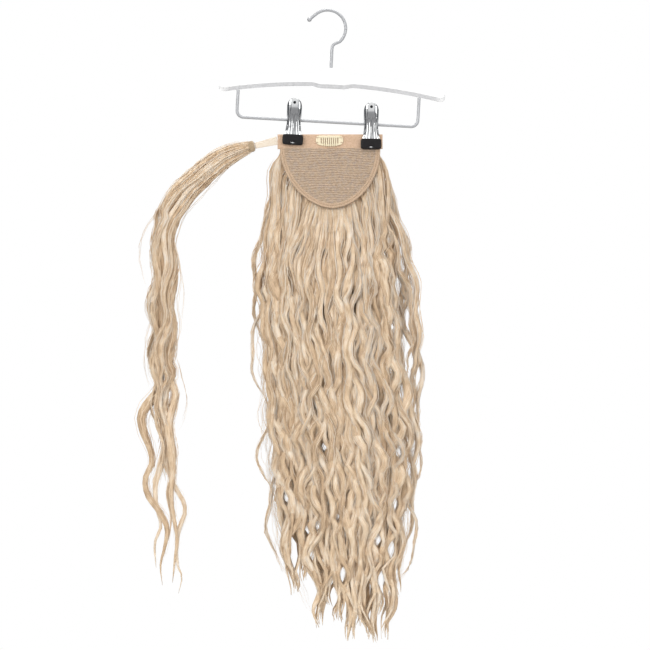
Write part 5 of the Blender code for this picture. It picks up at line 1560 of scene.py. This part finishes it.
strays = [side_guide(draw, row, 0.2) for row in WRAP_STRAYS]
hair_pieces("wrap_flyaway", strays, "wrap_hair", 3, radius=WRAP_STRAY_HAIR, seed=260, bodies=False)

skin = new_skin()  # the tail's heart, fluted as the fall's is, its tone painted dark as shade
rings = []
for k in range(61):
    s = WRAP_HEART["foot"] * k / 60
    size = WRAP_HEART["size"] * math.sqrt(1 - (k / 61) ** 4)
    ring = []
    for a in (2 * math.pi * n / 36 for n in range(36)):
        out = size * (1 - WRAP_HEART["flute"] * (1 - math.cos(9 * a)))
        ring.append(wrap_place(s, out * math.cos(a), out * math.sin(a), 0.0, WAVE_HEIGHT * 0.5))
    rings.append(ring)
loft_into(skin, rings, WRAP_HEART["tone"])
piece_of("wrap_heart", mesh_of("wrap_heart", skin, None), lock_fibre, ["wrap_hair"])

# The studio: a pale floor far below the hanging hair, a white surround, and large soft lamps to the
# front, the sides and above. The camera looks straight on, level with the middle of the object.
FLOOR_Z = -0.90
FLOOR_SPECKLE = 0.02
CAMERA_LENS = 100
CAMERA_PLACE = (-0.00275, -1.986, -0.3447)
LAMPS = [  # place, size and power of each soft lamp; all of them point at the middle of the hair
    dict(name="key", place=(-1.3, -1.7, 0.5), size=1.2, power=20),
    dict(name="fill", place=(1.5, -1.4, -0.1), size=1.2, power=11),
    dict(name="top", place=(0.2, 0.3, 1.1), size=1.0, power=12),
    dict(name="back", place=(-0.6, 1.8, 0.3), size=1.2, power=14),
]
AIM = Vector((0, 0, -0.35))
UPWARDS = [(0.0, "#6E6E70"), (0.34, "#A4A4A6"), (0.48, "#F0F0F1"), (1.0, "#FFFFFF")]
SIDEWAYS = [  # the surround from left to right: white walls with grey gaps, which the chrome mirrors
    (0.0, "#585A5E"), (0.08, "#585A5E"), (0.13, "#FFFFFF"), (0.29, "#FFFFFF"), (0.32, "#77797D"),
    (0.35, "#77797D"), (0.38, "#FFFFFF"), (0.62, "#FFFFFF"), (0.65, "#77797D"), (0.68, "#77797D"),
    (0.71, "#FFFFFF"), (0.87, "#FFFFFF"), (0.92, "#585A5E"), (1.0, "#585A5E"),
]
SURROUND_STRENGTH = 1.16

paint, tree, shader = finish_of("matt_studio_floor", "#CFCFCE", 0.85)
speckle = add(tree, "ShaderNodeTexNoise", {"Vector": object_place(tree, (FLOOR_SPECKLE,) * 3), "Detail": 3.0})
stops = [(0.3, "#CCCCCB"), (0.7, "#D4D4D3")]
add(tree, "ShaderNodeValToRGB", {0: speckle}, shader.inputs["Base Color"], stops)
bpy.ops.mesh.primitive_circle_add(vertices=96, radius=0.95, fill_type="NGON", location=(0, 0, FLOOR_Z))
floor = bpy.context.object
floor.name = "studio_floor"
floor.data.materials.append(paint)

for row in LAMPS:
    light = bpy.data.lights.new(row["name"] + "_lamp", "AREA")
    light.size = row["size"]
    light.energy = row["power"]
    lamp = bpy.data.objects.new(row["name"] + "_lamp", light)
    bpy.context.scene.collection.objects.link(lamp)
    lamp.location = row["place"]
    lamp.rotation_euler = (AIM - lamp.location).to_track_quat("-Z", "Y").to_euler()

world = bpy.data.worlds.new("white_studio")
world.use_nodes = True
tree = world.node_tree
ambient = tree.nodes["Background"]
seen = add(tree, "ShaderNodeBackground", {"Color": (1, 1, 1, 1), "Strength": 1.0})
way = add(tree, "ShaderNodeSeparateXYZ", {0: add(tree, "ShaderNodeTexCoord").outputs["Generated"]}).outputs
upwards = add(tree, "ShaderNodeMapRange", {0: way["Z"], 1: -1.0, 2: 1.0})
upwards = add(tree, "ShaderNodeValToRGB", {0: upwards}, stops=UPWARDS)
sideways = add(tree, "ShaderNodeMapRange", {0: way["X"], 1: -1.0, 2: 1.0})
sideways = add(tree, "ShaderNodeValToRGB", {0: sideways}, stops=SIDEWAYS)
both = add(tree, "ShaderNodeMix", {0: 1.0, 6: upwards, 7: sideways}, data_type="RGBA", blend_type="MULTIPLY")
tree.links.new(both.outputs[2], ambient.inputs["Color"])
ambient.inputs["Strength"].default_value = SURROUND_STRENGTH
ray = add(tree, "ShaderNodeLightPath").outputs["Is Camera Ray"]
surface = tree.nodes["World Output"].inputs["Surface"]
add(tree, "ShaderNodeMixShader", {0: ray, 1: ambient, 2: seen}, surface)
bpy.context.scene.world = world
bpy.context.scene.view_settings.view_transform = "Standard"

lens = bpy.data.cameras.new("front_camera")
lens.lens = CAMERA_LENS
lens.sensor_width = 36
camera = bpy.data.objects.new("front_camera", lens)
bpy.context.scene.collection.objects.link(camera)
camera.location = CAMERA_PLACE
camera.rotation_euler = (math.radians(90), 0, 0)
bpy.context.scene.camera = camera
